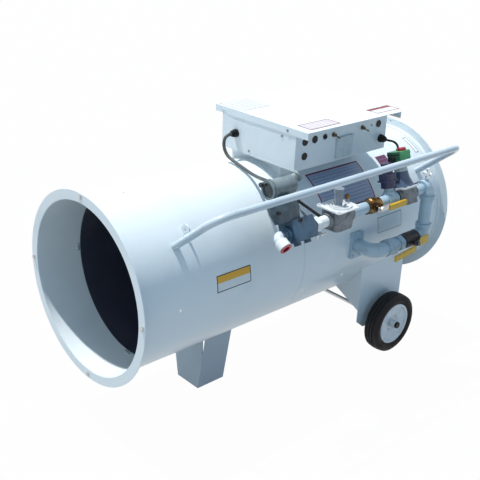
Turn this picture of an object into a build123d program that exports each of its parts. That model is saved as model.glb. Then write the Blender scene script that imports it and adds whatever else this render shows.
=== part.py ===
"""Portable gas-fired forced air heater: a 24 in blower drum on one leg and two wheels.

The drum's axis is X, from the outlet (x = 0, the front face of the outlet ring) to the air inlet.
The gas train and the control panel are on the -Y side and +Z is up. All lengths are in millimetres.
"""

import os
from math import cos, radians, sin, tan

from build123d import *

# ---- clearances ------------------------------------------------------------------------------
seat_gap = 0.3  # between a curved piece and the curved piece that carries it
running_gap = 0.05  # radial, between a shaft and its bearing
swing_gap = 0.6  # beside a part that swings
seam_gap = 1.5  # open joint line between the two drum halves

# ---- drum, rings and liner -------------------------------------------------------------------
drum_r = 305.0
drum_wall = 1.5
drum_len = 1551.0  # over both rings
ring_r = drum_r + 33.0
ring_wall = 3.0
collar_len = 25.0
collar_wall = 2.5
ring_hole_pcd = 2 * drum_r + 40.0
ring_hole_r = 4.5
ring_holes = 4
seam_x = drum_len - 823.0
lap_len = 25.0
liner_x = 171.0
liner_len = drum_len - 781.0
liner_gap = 5.5
liner_r = drum_r - liner_gap
liner_wall = 1.2
liner_tab_w = 26.0
liner_tab_len = 20.0

# ---- legs, axle and wheels -------------------------------------------------------------------
ground_z = -drum_r - 236.0
front_leg_x = 444.0
front_leg_depth = 128.0
front_leg_half = 61.0  # half the foot's width
front_leg_flare = 9.5  # degrees that each side leans out
front_leg_split_z = -drum_r - 85.0
leg_wall = 3.0
rear_leg_x = drum_len - 435.0
rear_leg_len = 267.0
rear_leg_y = drum_r - 38.0
rear_leg_foot_z = -drum_r - 125.0
rear_leg_corner = (43.0, 35.0)  # chamfer at the lower front corner, along X and Z
gusset_drop = 195.0
gusset_reach = 127.0
gusset_tip_z = 27.0 - drum_r
axle_x = rear_leg_x + 142.0
axle_r = 8.0
tyre_r = 127.0
tyre_width = 70.0
bead_r = 80.0
rim_lip_r = 87.0
rim_wall = 2.6
hub_r = 16.0
hub_out = 39.0  # hub length outboard of the wheel's middle
hub_in = 35.0
wheel_y = drum_r + 18.0
collar_r = 14.0
retainer_len = 9.0
end_gap = 1.0  # end float of a wheel between its collars

# ---- control box -----------------------------------------------------------------------------
box_x = drum_len - 844.0
box_len = 492.0
box_front = -241.0
box_back = 139.0
box_floor = drum_r + 27.0
box_h = 150.5
box_top = box_floor + box_h
box_wall = 1.5
lid_end_gap = 8.0  # from the box to the lid's turned-down rear end
lid_front = -297.0
lid_back = 178.0
lid_wall = 1.5
lid_x = box_x - lid_wall - seat_gap
lid_len = box_x + box_len + lid_end_gap - lid_x
lid_flange = 25.0
lid_notch_r = 12.0
saddle_x = box_x + 46.0
saddle_len = box_len - 92.0
saddle_half = 131.0
saddle_wall = 2.0
wire_hole_r = 16.0
wire_hole_x = box_x + 373.0
plug_hole_r = 11.0
plug_r = 13.5
plug_spots = (
    (box_x + 46.0, box_floor + 100.0),
    (box_x + 95.0, box_floor + 101.0),
    (box_x + 47.0, box_floor + 48.0),
    (box_x + box_len - 49.0, box_floor + 102.0),
)
switch_row_z = box_top - 48.5
fan_switch_x = box_x + 192.0
heat_switch_x = box_x + 350.0
button_x = box_x + 147.0
bushing_r = 6.0
bushing_len = 12.0
toggle_tilt = 12.0  # degrees either side of square
toggle_len = 26.0
button_r = 5.0
button_stroke = 3.0
socket_x = box_x + 252.0
socket_z = box_floor + 47.0
socket_w = 90.0
socket_h = 78.0
socket_cover_t = 3.0
gland_r = 15.0
cable_gland_x = box_x + box_len - 30.0
cable_gland_z = box_floor + 43.0
conduit_gland_y = 61.0
conduit_gland_z = box_floor + 67.0
gland_len = 25.0
relay_size = (110.0, 120.0, 60.0)
transformer_size = (90.0, 80.0, 75.0)
terminal_size = (60.0, 180.0, 22.0)

# ---- handle rail and lug ---------------------------------------------------------------------
rail_angle = 38.5  # degrees above the horizontal, seen along the drum
rail_reach = drum_r + 246.0  # radius of the tube's middle from the drum's axis
rail_x = 189.0
rail_end_x = drum_len - 112.0
rail_r = 12.7
rail_wall = 2.0
rail_bend = 62.0
lug_x = 240.0
lug_angle = 45.2
lug_w = 34.0
lug_h = 38.0
lug_t = 5.0

# ---- gas train -------------------------------------------------------------------------------
train_y = -drum_r - 95.0
train_z = 200.0
drop_x = drum_len - 254.0  # the drop pipe at the rear end of the train
pipe_r = 21.1  # 1 1/4 in pipe
pipe_wall = 3.6
drop_pipe_r = 24.15  # 1 1/2 in pipe
valve_x = drop_x - 717.0
inlet_x = valve_x - 100.0
inlet_dip = 30.0  # degrees that the inlet points below the horizontal
inlet_arm = 18.5
street_r = 17.8
coupling_r = 23.0
coupling_len = 30.0
gas_bore_r = 18.0  # gasway of the fittings, and the inlet thread's bore
cap_t = 3.0
valve_half = 66.0
valve_lean = 30.0
valve_block = (104.0, 84.0, 66.0)
port_r = 27.0
thread_len = 12.0  # pipe thread inside a fitting
bonnet_z = 39.0
housing_waist = 33.0
housing_h = 36.0
head_z = 154.0
head_r = 32.0
head_x = valve_x - 77.0
head_len = 104.0
head_recess = 24.0
head_cap_r = 17.0
head_cap_lean = 24.0
housing_shift = -36.0
conduit_hub_r = 11.0
knob_r = 8.0
housing_low = (84.0, 70.0)
housing_shoulder = (98.0, 86.0)
housing_neck = (62.0, 44.0)
regulator_x = drop_x - 524.0
regulator_half = 63.0
regulator_block = (98.0, 88.0, 78.0)
regulator_sink = 40.0  # body below the pipe's middle
cover_w = 118.0
cover_d = 107.0
cover_t = 5.0
tower_x = -5.0
tower_r = 15.0
tower_h = 60.0
vent_x = 41.0
vent_r = 8.0
brass_x = drop_x - 342.0
brass_half = 34.0
brass_r = 29.0
tee_x = drop_x - 238.0
tee_half = 25.0
side_lean = 15.0
solenoid_lean = 18.0
solenoid_x = drop_x - 152.0
solenoid_half = 52.0
solenoid_flange = 92.0
coil_size = 64.0
coil_low = 112.0
coil_h = 52.0
coil_hub_spot = (16.0, 12.0)
elbow_arm = 49.0
elbow_r = 28.0
elbow_collar_r = 31.0
elbow_collar_len = 16.0
return_z = 0.0
black_x = drop_x - 90.0
black_half = 41.0
black_r = 30.0
union_r = 34.0
hex_nipple_len = 54.0
sweep_x = drop_x - 291.0
sweep_r = 27.0
sweep_bend = 50.0
sweep_end_x = sweep_x + 56.0
flange_w = 68.0
flange_h = 104.0
flange_y = -drum_r - 10.0
flange_bolts = (40.0, 80.0)
bolt_hole_r = 4.5
stem_r = 6.0
lever_w = 22.0
lever_t = 3.0
grip_w = 21.0
grip_t = 9.0
lever_lift = 6.0  # stem boss to lever
brass_lever_len = 146.0
brass_grip_len = 100.0
black_lever_len = 158.0
black_lever_tail = 66.0
black_lever_step = 18.0
black_lever_dip = 6.0
cock_x = valve_x + 96.0
cock_r = 7.0
cock_drop = 36.0
tee_handle_len = 30.0

# ---- burner, fan and motor -------------------------------------------------------------------
burner_x = sweep_x - 46.0
burner_len = 100.0
burner_r = 48.0
cone_mouth_x = burner_x - 130.0
cone_mouth_r = 150.0
cone_wall = 2.0
cone_hole_r = 8.0
cone_rows = 3
cone_holes = 16
rod_y = -34.0  # spark electrode, beside the burner can
rod_z = -74.0
feed_hole_r = 21.0
baffle_x = sweep_x + 60.0
baffle_t = 2.0
baffle_slots = 16
baffle_slot_len = 150.0
baffle_slot_w = 26.0
shroud_x = drum_len - 343.0
shroud_wall = 3.0
fan_clear = 5.0
fan_r = drum_r - 37.0
fan_x = shroud_x - 18.0
fan_blades = 5
fan_hub_r = 42.0
fan_hub_len = 56.0
blade_root_pitch = 48.0
blade_tip_pitch = 24.0
blade_chord_root = 66.0
blade_chord_tip = 120.0
blade_t = 3.0
motor_x = shroud_x + 60.0
motor_len = 205.0
motor_r = 82.0
band_len = 36.0
shaft_r = 8.0
guard_x = drum_len - 15.0
guard_wire = 2.0
guard_rings = 6
guard_spokes = 8

# ---- cords -----------------------------------------------------------------------------------
conduit_r = 6.0
cable_r = 4.2

drum_in = drum_r - drum_wall
inner_seat_r = drum_in - seat_gap
outer_seat_r = drum_r + seat_gap
axle_z = ground_z + tyre_r
lid_top = box_top + lid_wall


# ---- shared shapes ---------------------------------------------------------------------------
def outline(points, plane):
    """A straight-sided face through points on a plane."""
    with BuildSketch(plane) as face:
        with BuildLine():
            Polyline(*points, close=True)
        make_face()
    return face.sketch


def bar(start, end, radius, mode=Mode.ADD):
    """A round bar from one point to another."""
    run = Vector(*end) - Vector(*start)
    with BuildSketch(Plane(origin=start, z_dir=run)) as face:
        Circle(radius)
    extrude(face.sketch, amount=run.length, mode=mode)


def hexagon_bar(start, end, radius):
    """A hexagonal bar from one point to another; the radius is to its corners."""
    run = Vector(*end) - Vector(*start)
    with BuildSketch(Plane(origin=start, z_dir=run)) as face:
        RegularPolygon(radius, 6)
    extrude(face.sketch, amount=run.length)


def sheet(points, plane, thickness, mode=Mode.ADD):
    """A flat plate with a straight-sided outline."""
    extrude(outline(points, plane), amount=thickness, mode=mode)


def turned(points, mode=Mode.ADD):
    """A ring about the drum's axis, from (x, radius) points."""
    revolve(outline(points, Plane.XZ), axis=Axis.X, mode=mode)


def drum_cut(radius, start=-10.0, end=drum_len + 10.0):
    """Take away everything within a radius of the drum's axis."""
    bar((start, 0, 0), (end, 0, 0), radius, Mode.SUBTRACT)


def leaning(x, lean, y=train_y, z=train_z):
    """A plane across the pipe's middle whose Z leans towards the drum."""
    return Plane(origin=(x, y, z), x_dir=(1, 0, 0), z_dir=(0, sin(radians(lean)), cos(radians(lean))))


def radial(angle):
    """The plane through the drum's axis whose Y points out at an angle above -Y."""
    return Plane(origin=(0, 0, 0), x_dir=(1, 0, 0), z_dir=(0, -sin(radians(angle)), -cos(radians(angle))))


def block(plane, low, high, width, depth, radius):
    """A block with rounded upright edges, between two heights over a plane."""
    with BuildSketch(plane.offset(low)) as face:
        RectangleRounded(width, depth, radius)
    extrude(face.sketch, amount=high - low)


def round_path(points, radii):
    """Straight runs joined by arcs."""
    with BuildLine() as path:
        FilletPolyline(*points, radius=radii)
    return path.line


def swept(points, radii, outer, inner=0.0):
    """A tube or rod along straight runs and arcs."""
    run = Vector(*points[1]) - Vector(*points[0])
    with BuildSketch(Plane(origin=points[0], z_dir=run)) as face:
        Circle(outer)
        if inner:
            Circle(inner, mode=Mode.SUBTRACT)
    sweep(face.sketch, path=round_path(points, radii))


def arc_radii(points):
    """The radius of each corner: 0.45 of its shorter run over the tangent of half its turn."""
    radii = []
    for before, corner, after in zip(points, points[1:], points[2:]):
        run_in = Vector(*corner) - Vector(*before)
        run_out = Vector(*after) - Vector(*corner)
        half_turn = radians(run_in.get_angle(run_out)) / 2
        radii.append(0.45 * min(run_in.length, run_out.length) / tan(half_turn))
    return radii


def finish(builder, name):
    """Label a finished piece and write it."""
    builder.part.label = name
    os.makedirs("parts", exist_ok=True)
    export_step(builder.part, f"parts/{name}.step")


# ---- drum ------------------------------------------------------------------------------------
# Front half of the drum: a rolled sheet with a lifting lug welded on behind the handle's foot.
with BuildPart() as front_drum:
    turned(((1, drum_in), (seam_x, drum_in), (seam_x, drum_r), (1, drum_r)))
    lug_plane = Plane(
        origin=(lug_x, 0, 0),
        x_dir=(0, -cos(radians(lug_angle)), sin(radians(lug_angle))),
        z_dir=(1, 0, 0),
    )
    lug_low = drum_r - drum_wall / 2
    lug_mid = drum_r + lug_h - lug_w / 2
    with BuildSketch(lug_plane) as lug_face:
        with Locations(((lug_low + lug_mid) / 2, 0)):
            Rectangle(lug_mid - lug_low, lug_w)
        with Locations((lug_mid, 0)):
            Circle(lug_w / 2)
            Circle(lug_w / 5, mode=Mode.SUBTRACT)
    extrude(amount=lug_t)
finish(front_drum, "front_drum")

# Rear half: its front edge is set in by one sheet and tucks inside the front half.
with BuildPart() as rear_drum:
    lap_r = drum_in - seat_gap
    step_x = seam_x + seam_gap
    turned(
        (
            (seam_x - lap_len, lap_r - drum_wall),
            (step_x + 3, lap_r - drum_wall),
            (step_x + 8, drum_in),
            (drum_len - 1, drum_in),
            (drum_len - 1, drum_r),
            (step_x, drum_r),
            (step_x, lap_r),
            (seam_x - lap_len, lap_r),
        )
    )
    bar((sweep_x, 0, 0), (sweep_x, -drum_r - 10, 0), feed_hole_r, Mode.SUBTRACT)
    bar((wire_hole_x, 0, 0), (wire_hole_x, 0, drum_r + 10), wire_hole_r, Mode.SUBTRACT)
finish(rear_drum, "rear_drum")


def flanged_ring(face_x, inward):
    """A flat ring with a short collar that slips over the drum's end."""
    bore = outer_seat_r
    back = face_x + inward * ring_wall
    end = face_x + inward * collar_len
    turned(
        (
            (face_x, bore),
            (face_x, ring_r),
            (back, ring_r),
            (back, bore + collar_wall),
            (end, bore + collar_wall),
            (end, bore),
        )
    )
    for turn in range(ring_holes):
        angle = radians(360 * turn / ring_holes)
        spot = (ring_hole_pcd / 2 * cos(angle), ring_hole_pcd / 2 * sin(angle))
        bar((face_x - 5, *spot), (face_x + 5, *spot), ring_hole_r, Mode.SUBTRACT)


with BuildPart() as outlet_ring:
    flanged_ring(0, 1)
finish(outlet_ring, "outlet_ring")

with BuildPart() as inlet_ring:
    flanged_ring(drum_len, -1)
finish(inlet_ring, "inlet_ring")

# Heat liner: a dark sleeve held off the drum by four tabs at each end.
with BuildPart() as heat_liner:
    liner_end = liner_x + liner_len
    turned(
        (
            (liner_x, liner_r - liner_wall),
            (liner_end, liner_r - liner_wall),
            (liner_end, liner_r),
            (liner_x, liner_r),
        )
    )
    for tab_x in (liner_x - liner_tab_len / 2, liner_end - liner_tab_len / 2):
        for turn in range(4):
            angle = radians(90 * turn)
            across = Plane(
                origin=(tab_x, 0, 0), x_dir=(0, cos(angle), sin(angle)), z_dir=(1, 0, 0)
            )
            with BuildSketch(across) as tab_face:
                with Locations(((liner_r - liner_wall + inner_seat_r) / 2, 0)):
                    Rectangle(inner_seat_r - liner_r + liner_wall, liner_tab_w)
            extrude(tab_face.sketch, amount=liner_tab_len)
    turned(((0, inner_seat_r), (drum_len, inner_seat_r), (drum_len, drum_r), (0, drum_r)), Mode.SUBTRACT)
finish(heat_liner, "heat_liner")


# ---- legs ------------------------------------------------------------------------------------
# Front leg: one sheet folded to a channel that opens to the rear, on a flat foot.
def channel_points(half):
    """The channel's outline, clockwise from its open near corner."""
    back = front_leg_x + front_leg_depth
    inner_x = front_leg_x + leg_wall
    return (
        (back, -half),
        (front_leg_x, -half),
        (front_leg_x, half),
        (back, half),
        (back, half - leg_wall),
        (inner_x, half - leg_wall),
        (inner_x, leg_wall - half),
        (back, leg_wall - half),
    )


def leg_half(z):
    """Half the front leg's width at a height."""
    return front_leg_half + (z - ground_z) * tan(radians(front_leg_flare))


with BuildPart() as front_leg:
    leg_top_z = -200.0
    lower = outline(channel_points(front_leg_half), Plane.XY.offset(ground_z))
    upper = outline(channel_points(leg_half(leg_top_z)), Plane.XY.offset(leg_top_z))
    loft([lower, upper], ruled=True)
    with BuildSketch(Plane.XY.offset(ground_z)) as foot_face:
        with Locations((front_leg_x + front_leg_depth / 2, 0)):
            Rectangle(front_leg_depth, 2 * front_leg_half)
    extrude(foot_face.sketch, amount=leg_wall)
    split_half = leg_half(front_leg_split_z) - leg_wall
    split_top = -260.0
    for side in (-1, 1):
        slit = (
            (side * split_half, front_leg_split_z),
            (side * split_half, split_top),
            (side * (leg_half(split_top) - leg_wall), split_top),
        )
        sheet(slit, Plane.YZ.offset(front_leg_x - 1), leg_wall + 1.01, Mode.SUBTRACT)
    drum_cut(outer_seat_r)
finish(front_leg, "front_leg")


def rear_leg(side):
    """An upright plate with a gusset folded in at its front and rear edges."""
    outer = side * rear_leg_y
    inner = side * (rear_leg_y - leg_wall)
    rear_leg_end = rear_leg_x + rear_leg_len
    top_z = -130.0
    corner_x, corner_z = rear_leg_corner
    low = min(outer, inner)
    sheet(
        (
            (rear_leg_x, top_z),
            (rear_leg_end, top_z),
            (rear_leg_end, rear_leg_foot_z),
            (rear_leg_x + corner_x, rear_leg_foot_z),
            (rear_leg_x, rear_leg_foot_z + corner_z),
        ),
        Plane.XZ.offset(-low - leg_wall),
        leg_wall,
    )
    gusset_top = -147.0
    gusset = (
        (inner, top_z),
        (inner, gusset_top - gusset_drop),
        (side * (rear_leg_y - gusset_reach), gusset_tip_z),
        (side * (rear_leg_y - gusset_reach), top_z),
    )
    for fold_x in (rear_leg_x, rear_leg_end - leg_wall):
        sheet(gusset, Plane.YZ.offset(fold_x), leg_wall)
    hole_end = outer + side * leg_wall
    hole_start = hole_end - side * 3 * leg_wall
    bar((axle_x, hole_start, axle_z), (axle_x, hole_end, axle_z), axle_r + seat_gap, Mode.SUBTRACT)
    drum_cut(outer_seat_r)


with BuildPart() as rear_leg_near:
    rear_leg(-1)
finish(rear_leg_near, "rear_leg_near")

with BuildPart() as rear_leg_far:
    rear_leg(1)
finish(rear_leg_far, "rear_leg_far")


# ---- axle and wheels -------------------------------------------------------------------------
# Axle: a round bar through both rear legs.
retainer_y = wheel_y + hub_out + end_gap
with BuildPart() as axle:
    axle_end = retainer_y + retainer_len - 3
    bar((axle_x, -axle_end, axle_z), (axle_x, axle_end, axle_z), axle_r)
    chamfer(axle.edges().filter_by(GeomType.CIRCLE), 1.5)
finish(axle, "axle")

# Axle collars: a spacer inside each wheel and a domed retainer that caps the axle outside it.
with BuildPart() as axle_collars:
    for side in (-1, 1):
        spacer_start = side * (rear_leg_y + end_gap)
        spacer_end = side * (wheel_y - hub_in - end_gap)
        bar((axle_x, spacer_start, axle_z), (axle_x, spacer_end, axle_z), collar_r)
        cap_end = side * (retainer_y + retainer_len)
        bar((axle_x, side * retainer_y, axle_z), (axle_x, cap_end, axle_z), collar_r)
    fillet(axle_collars.edges().group_by(Axis.Y)[0], 3)
    fillet(axle_collars.edges().group_by(Axis.Y)[-1], 3)
    bar((axle_x, -axle_end, axle_z), (axle_x, axle_end, axle_z), axle_r + running_gap, Mode.SUBTRACT)
finish(axle_collars, "axle_collars")


def about_axle(points, side):
    """A ring about the axle, from (radius, distance outboard of the wheel's middle) points."""
    placed = tuple((axle_x + radius, side * (wheel_y + out)) for radius, out in points)
    revolve(outline(placed, Plane.XY.offset(axle_z)), axis=Axis((axle_x, 0, axle_z), (0, 1, 0)))


def wheel_rim(side):
    """A pressed rim: hub, dished disc, bead barrel and two lips."""
    half = tyre_width / 2 - 6
    barrel = bead_r - seat_gap - rim_wall
    about_axle(
        (
            (axle_r + running_gap, -hub_in),
            (hub_r, -hub_in),
            (hub_r, 8),
            (hub_r + 14, 8),
            (hub_r + 22, 17),
            (barrel - 6, 20),
            (barrel, 15),
            (barrel, -half),
            (rim_lip_r, -half),
            (rim_lip_r, rim_wall - half),
            (barrel + rim_wall, rim_wall - half),
            (barrel + rim_wall, half - rim_wall),
            (rim_lip_r, half - rim_wall),
            (rim_lip_r, half),
            (barrel, half),
            (barrel - 4, 20 + rim_wall),
            (hub_r + 21, 17 + rim_wall),
            (hub_r + 13, 8 + rim_wall),
            (hub_r, 8 + rim_wall),
            (hub_r, hub_out - 2),
            (hub_r - 2, hub_out),
            (axle_r + running_gap, hub_out),
        ),
        side,
    )


def tyre(side):
    """A cushion tyre: flat beads, round shoulders, a crowned tread and grooves."""
    bead = tyre_width / 2 - 6 - rim_wall - seat_gap
    half = tyre_width / 2
    with BuildSketch(Plane.XY.offset(axle_z)) as section:
        with BuildLine(Plane.XY):
            bead_x = axle_x + bead_r
            lip_x = axle_x + rim_lip_r + 1
            wide_x = axle_x + (bead_r + tyre_r) / 2
            tread_x = axle_x + tyre_r - 3
            crown_x = axle_x + tyre_r
            inner_y = side * (wheel_y - bead)
            outer_y = side * (wheel_y + bead)
            Polyline((lip_x, inner_y), (bead_x, inner_y), (bead_x, outer_y), (lip_x, outer_y))
            Spline((lip_x, outer_y), (wide_x, side * (wheel_y + half)), (tread_x, side * (wheel_y + half - 8)))
            ThreePointArc(
                (tread_x, side * (wheel_y + half - 8)),
                (crown_x, side * wheel_y),
                (tread_x, side * (wheel_y - half + 8)),
            )
            Spline((tread_x, side * (wheel_y - half + 8)), (wide_x, side * (wheel_y - half)), (lip_x, inner_y))
        make_face()
        for groove in (-14, 0, 14):
            with Locations((crown_x, side * (wheel_y + groove))):
                Rectangle(8, 4, mode=Mode.SUBTRACT)
    revolve(section.sketch, axis=Axis((axle_x, 0, axle_z), (0, 1, 0)))


with BuildPart() as rim_near:
    wheel_rim(-1)
finish(rim_near, "rim_near")

with BuildPart() as tyre_near:
    tyre(-1)
finish(tyre_near, "tyre_near")

with BuildPart() as rim_far:
    wheel_rim(1)
finish(rim_far, "rim_far")

with BuildPart() as tyre_far:
    tyre(1)
finish(tyre_far, "tyre_far")


# ---- control box -----------------------------------------------------------------------------
def panel_hole(x, z, radius):
    """A round hole through the control box's front wall."""
    bar((x, box_front - 5, z), (x, box_front + 5, z), radius, Mode.SUBTRACT)


with BuildPart() as control_box:
    box_mid = (box_x + box_len / 2, (box_front + box_back) / 2)
    box_depth = box_back - box_front
    with BuildSketch(Plane.XY.offset(box_floor)) as box_face:
        with Locations(box_mid):
            Rectangle(box_len, box_depth)
    extrude(box_face.sketch, amount=box_top - box_floor)
    with BuildSketch(Plane.XY.offset(box_floor + box_wall)) as hollow_face:
        with Locations(box_mid):
            Rectangle(box_len - 2 * box_wall, box_depth - 2 * box_wall)
    extrude(hollow_face.sketch, amount=box_top, mode=Mode.SUBTRACT)
    for plug_x, plug_z in plug_spots:
        panel_hole(plug_x, plug_z, plug_hole_r)
    for switch_x in (fan_switch_x, heat_switch_x):
        panel_hole(switch_x, switch_row_z, bushing_r + seat_gap)
    panel_hole(button_x, switch_row_z, button_r + 2 + seat_gap)
    panel_hole(cable_gland_x, cable_gland_z, gland_r - 3 + seat_gap)
    with BuildSketch(Plane.XZ.offset(-box_front - 5)) as socket_hole:
        with Locations((socket_x, socket_z)):
            Rectangle(socket_w - 20, socket_h - 20)
    extrude(socket_hole.sketch, amount=10, mode=Mode.SUBTRACT)
    bar(
        (box_x - 5, conduit_gland_y, conduit_gland_z),
        (box_x + 5, conduit_gland_y, conduit_gland_z),
        gland_r - 3 + seat_gap,
        Mode.SUBTRACT,
    )
    bar((wire_hole_x, 0, box_floor - 5), (wire_hole_x, 0, box_floor + 5), wire_hole_r, Mode.SUBTRACT)
finish(control_box, "control_box")

# Lid: a flat sheet that overhangs, with a turned-down flange at its left and right ends.
with BuildPart() as box_lid:
    lid_mid = (lid_x + lid_len / 2, (lid_front + lid_back) / 2)
    with BuildSketch(Plane.XY.offset(box_top)) as lid_face:
        with Locations(lid_mid):
            Rectangle(lid_len, lid_back - lid_front)
    extrude(lid_face.sketch, amount=lid_wall)
    for flange_x in (lid_x, lid_x + lid_len - lid_wall):
        with BuildSketch(Plane.YZ.offset(flange_x)) as lid_flange_face:
            with Locations((lid_mid[1], box_top - (lid_flange - lid_wall) / 2)):
                Rectangle(lid_back - lid_front, lid_flange - lid_wall)
            with Locations((box_back - lid_notch_r, box_top - lid_flange + lid_wall)):
                Circle(lid_notch_r, mode=Mode.SUBTRACT)
        extrude(lid_flange_face.sketch, amount=lid_wall)
finish(box_lid, "box_lid")

# Saddle: an open-bottomed pedestal, cut to the drum, that carries the control box.
with BuildPart() as box_saddle:
    saddle_mid = (saddle_x + saddle_len / 2, 0)
    with BuildSketch(Plane.XY.offset(box_floor)) as saddle_face:
        with Locations(saddle_mid):
            Rectangle(saddle_len, 2 * saddle_half)
    extrude(saddle_face.sketch, amount=-90)
    with BuildSketch(Plane.XY.offset(box_floor - saddle_wall)) as saddle_hollow:
        with Locations(saddle_mid):
            Rectangle(saddle_len - 2 * saddle_wall, 2 * (saddle_half - saddle_wall))
    extrude(saddle_hollow.sketch, amount=-90, mode=Mode.SUBTRACT)
    bar((wire_hole_x, 0, box_floor - 9), (wire_hole_x, 0, box_floor + 9), wire_hole_r, Mode.SUBTRACT)
    drum_cut(outer_seat_r)
finish(box_saddle, "box_saddle")

# Knockout plugs: four snap-in buttons that close spare holes in the front wall.
with BuildPart() as knockout_plugs:
    for plug_x, plug_z in plug_spots:
        bar((plug_x, box_front, plug_z), (plug_x, box_front - 2, plug_z), plug_r)
        bar((plug_x, box_front, plug_z), (plug_x, box_front + 6, plug_z), plug_hole_r - seat_gap)
        bar((plug_x, box_front + 2, plug_z), (plug_x, box_front + 8, plug_z), plug_hole_r - 2, Mode.SUBTRACT)
finish(knockout_plugs, "knockout_plugs")


def gland(seat, way):
    """A cable gland: locknut ring, body and dome nut, pointing out along a unit direction."""
    nose = seat + way * gland_len
    bar(seat, seat + way * 9, gland_r)
    bar(seat + way * 9, seat + way * 19, gland_r - 2)
    bar(seat + way * 19, nose, gland_r - 5)
    bar(seat, seat - way * 10, gland_r - 3)


with BuildPart() as conduit_gland:
    conduit_seat = Vector(box_x, conduit_gland_y, conduit_gland_z)
    gland(conduit_seat, Vector(-1, 0, 0))
finish(conduit_gland, "conduit_gland")

with BuildPart() as cable_gland:
    cable_seat = Vector(cable_gland_x, box_front, cable_gland_z)
    gland(cable_seat, Vector(0, -1, 0))
finish(cable_gland, "cable_gland")

# Panel switches: two toggle switches and a push button, each held by its bushing in the wall.
with BuildPart() as switch_bodies:
    nut_t = 2.5
    cavity_r = 4.5
    for switch_x in (fan_switch_x, heat_switch_x):
        bar(
            (switch_x, box_front + box_wall, switch_row_z),
            (switch_x, box_front - bushing_len, switch_row_z),
            bushing_r,
        )
        hexagon_bar((switch_x, box_front, switch_row_z), (switch_x, box_front - nut_t, switch_row_z), 10)
        with Locations((switch_x, box_front + box_wall + 13, switch_row_z)):
            Box(16, 26, 24)
        bar(
            (switch_x, box_front - bushing_len, switch_row_z),
            (switch_x, box_front - 1, switch_row_z),
            cavity_r,
            Mode.SUBTRACT,
        )
    bezel_r = button_r + 2
    bar((button_x, box_front, switch_row_z), (button_x, box_front - nut_t, switch_row_z), bezel_r + 3)
    bar((button_x, box_front - nut_t, switch_row_z), (button_x, box_front + 16, switch_row_z), bezel_r)
    bar(
        (button_x, box_front - nut_t, switch_row_z),
        (button_x, box_front + 12, switch_row_z),
        button_r + running_gap,
        Mode.SUBTRACT,
    )
finish(switch_bodies, "switch_bodies")


def toggle(x):
    """A bat-handled toggle, tipped down, on a ball inside its bushing."""
    pivot = Vector(x, box_front - bushing_len / 2, switch_row_z)
    tilt = radians(toggle_tilt)
    way = Vector(0, -cos(tilt), -sin(tilt))
    neck = pivot + way * (toggle_len / 2)
    bar(pivot, neck, 1.9)
    with BuildSketch(Plane(origin=neck, z_dir=way)) as thin_end:
        Circle(1.9)
    with BuildSketch(Plane(origin=pivot + way * toggle_len, z_dir=way)) as thick_end:
        Circle(3.3)
    loft([thin_end.sketch, thick_end.sketch])
    with Locations(pivot):
        Sphere(4.2)


with BuildPart() as fan_toggle:
    toggle(fan_switch_x)
finish(fan_toggle, "fan_toggle")

with BuildPart() as heat_toggle:
    toggle(heat_switch_x)
finish(heat_toggle, "heat_toggle")

with BuildPart() as reset_button:
    bar((button_x, box_front - nut_t - 6, switch_row_z), (button_x, box_front + 6, switch_row_z), button_r)
    fillet(reset_button.edges().group_by(Axis.Y)[0], 1.2)
finish(reset_button, "reset_button")

# Service socket: a frame with two round outlets, behind a spring cover hinged at its top.
hinge_y = box_front - 7.0
hinge_z = socket_z + socket_h / 2
ear_w = 8.0
pin_r = 1.6
knuckle_r = 3.0
with BuildPart() as socket_body:
    with BuildSketch(Plane.XZ.offset(-box_front)) as frame_face:
        with Locations((socket_x, socket_z)):
            RectangleRounded(socket_w, socket_h, 4)
    extrude(frame_face.sketch, amount=3)
    with BuildSketch(Plane.XZ.offset(-box_front)) as body_face:
        with Locations((socket_x, socket_z)):
            Rectangle(socket_w - 22, socket_h - 22)
    extrude(body_face.sketch, amount=-28)
    for offset in (-18, 18):
        bar(
            (socket_x + offset, box_front - 4, socket_z),
            (socket_x + offset, box_front - 1, socket_z),
            14,
            Mode.SUBTRACT,
        )
        for slot in (-5, 5):
            with Locations((socket_x + offset + slot, box_front + 3, socket_z + 3)):
                Box(2, 12, 8, mode=Mode.SUBTRACT)
    for end in (-1, 1):
        ear_x = socket_x + end * (socket_w / 2 - ear_w / 2)
        bar((ear_x - ear_w / 2, hinge_y, hinge_z), (ear_x + ear_w / 2, hinge_y, hinge_z), knuckle_r)
        with Locations((ear_x, (hinge_y + box_front) / 2, hinge_z)):
            Box(ear_w, box_front - hinge_y, 2 * knuckle_r - 1)
    bar(
        (socket_x - socket_w, hinge_y, hinge_z),
        (socket_x + socket_w, hinge_y, hinge_z),
        pin_r + running_gap,
        Mode.SUBTRACT,
    )
finish(socket_body, "socket_body")

with BuildPart() as socket_cover:
    knuckle_half = socket_w / 2 - ear_w - swing_gap
    bar((socket_x - knuckle_half, hinge_y, hinge_z), (socket_x + knuckle_half, hinge_y, hinge_z), knuckle_r)
    bar((socket_x - socket_w / 2, hinge_y, hinge_z), (socket_x + socket_w / 2, hinge_y, hinge_z), pin_r)
    cover_h = socket_h - 8
    cover_top = hinge_z - knuckle_r - swing_gap
    with BuildSketch(Plane.XZ.offset(-box_front + 3.4)) as cover_face:
        with Locations((socket_x, cover_top - cover_h / 2)):
            RectangleRounded(socket_w - 4, cover_h, 5)
    extrude(cover_face.sketch, amount=socket_cover_t)
    with Locations((socket_x, box_front - 3.4 - socket_cover_t / 2, hinge_z - 2.5)):
        Box(2 * knuckle_half, socket_cover_t, 5)
    with Locations((socket_x, box_front - 6.4 - 1.5, cover_top - cover_h + 5)):
        Box(18, 3, 6)
finish(socket_cover, "socket_cover")

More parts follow.
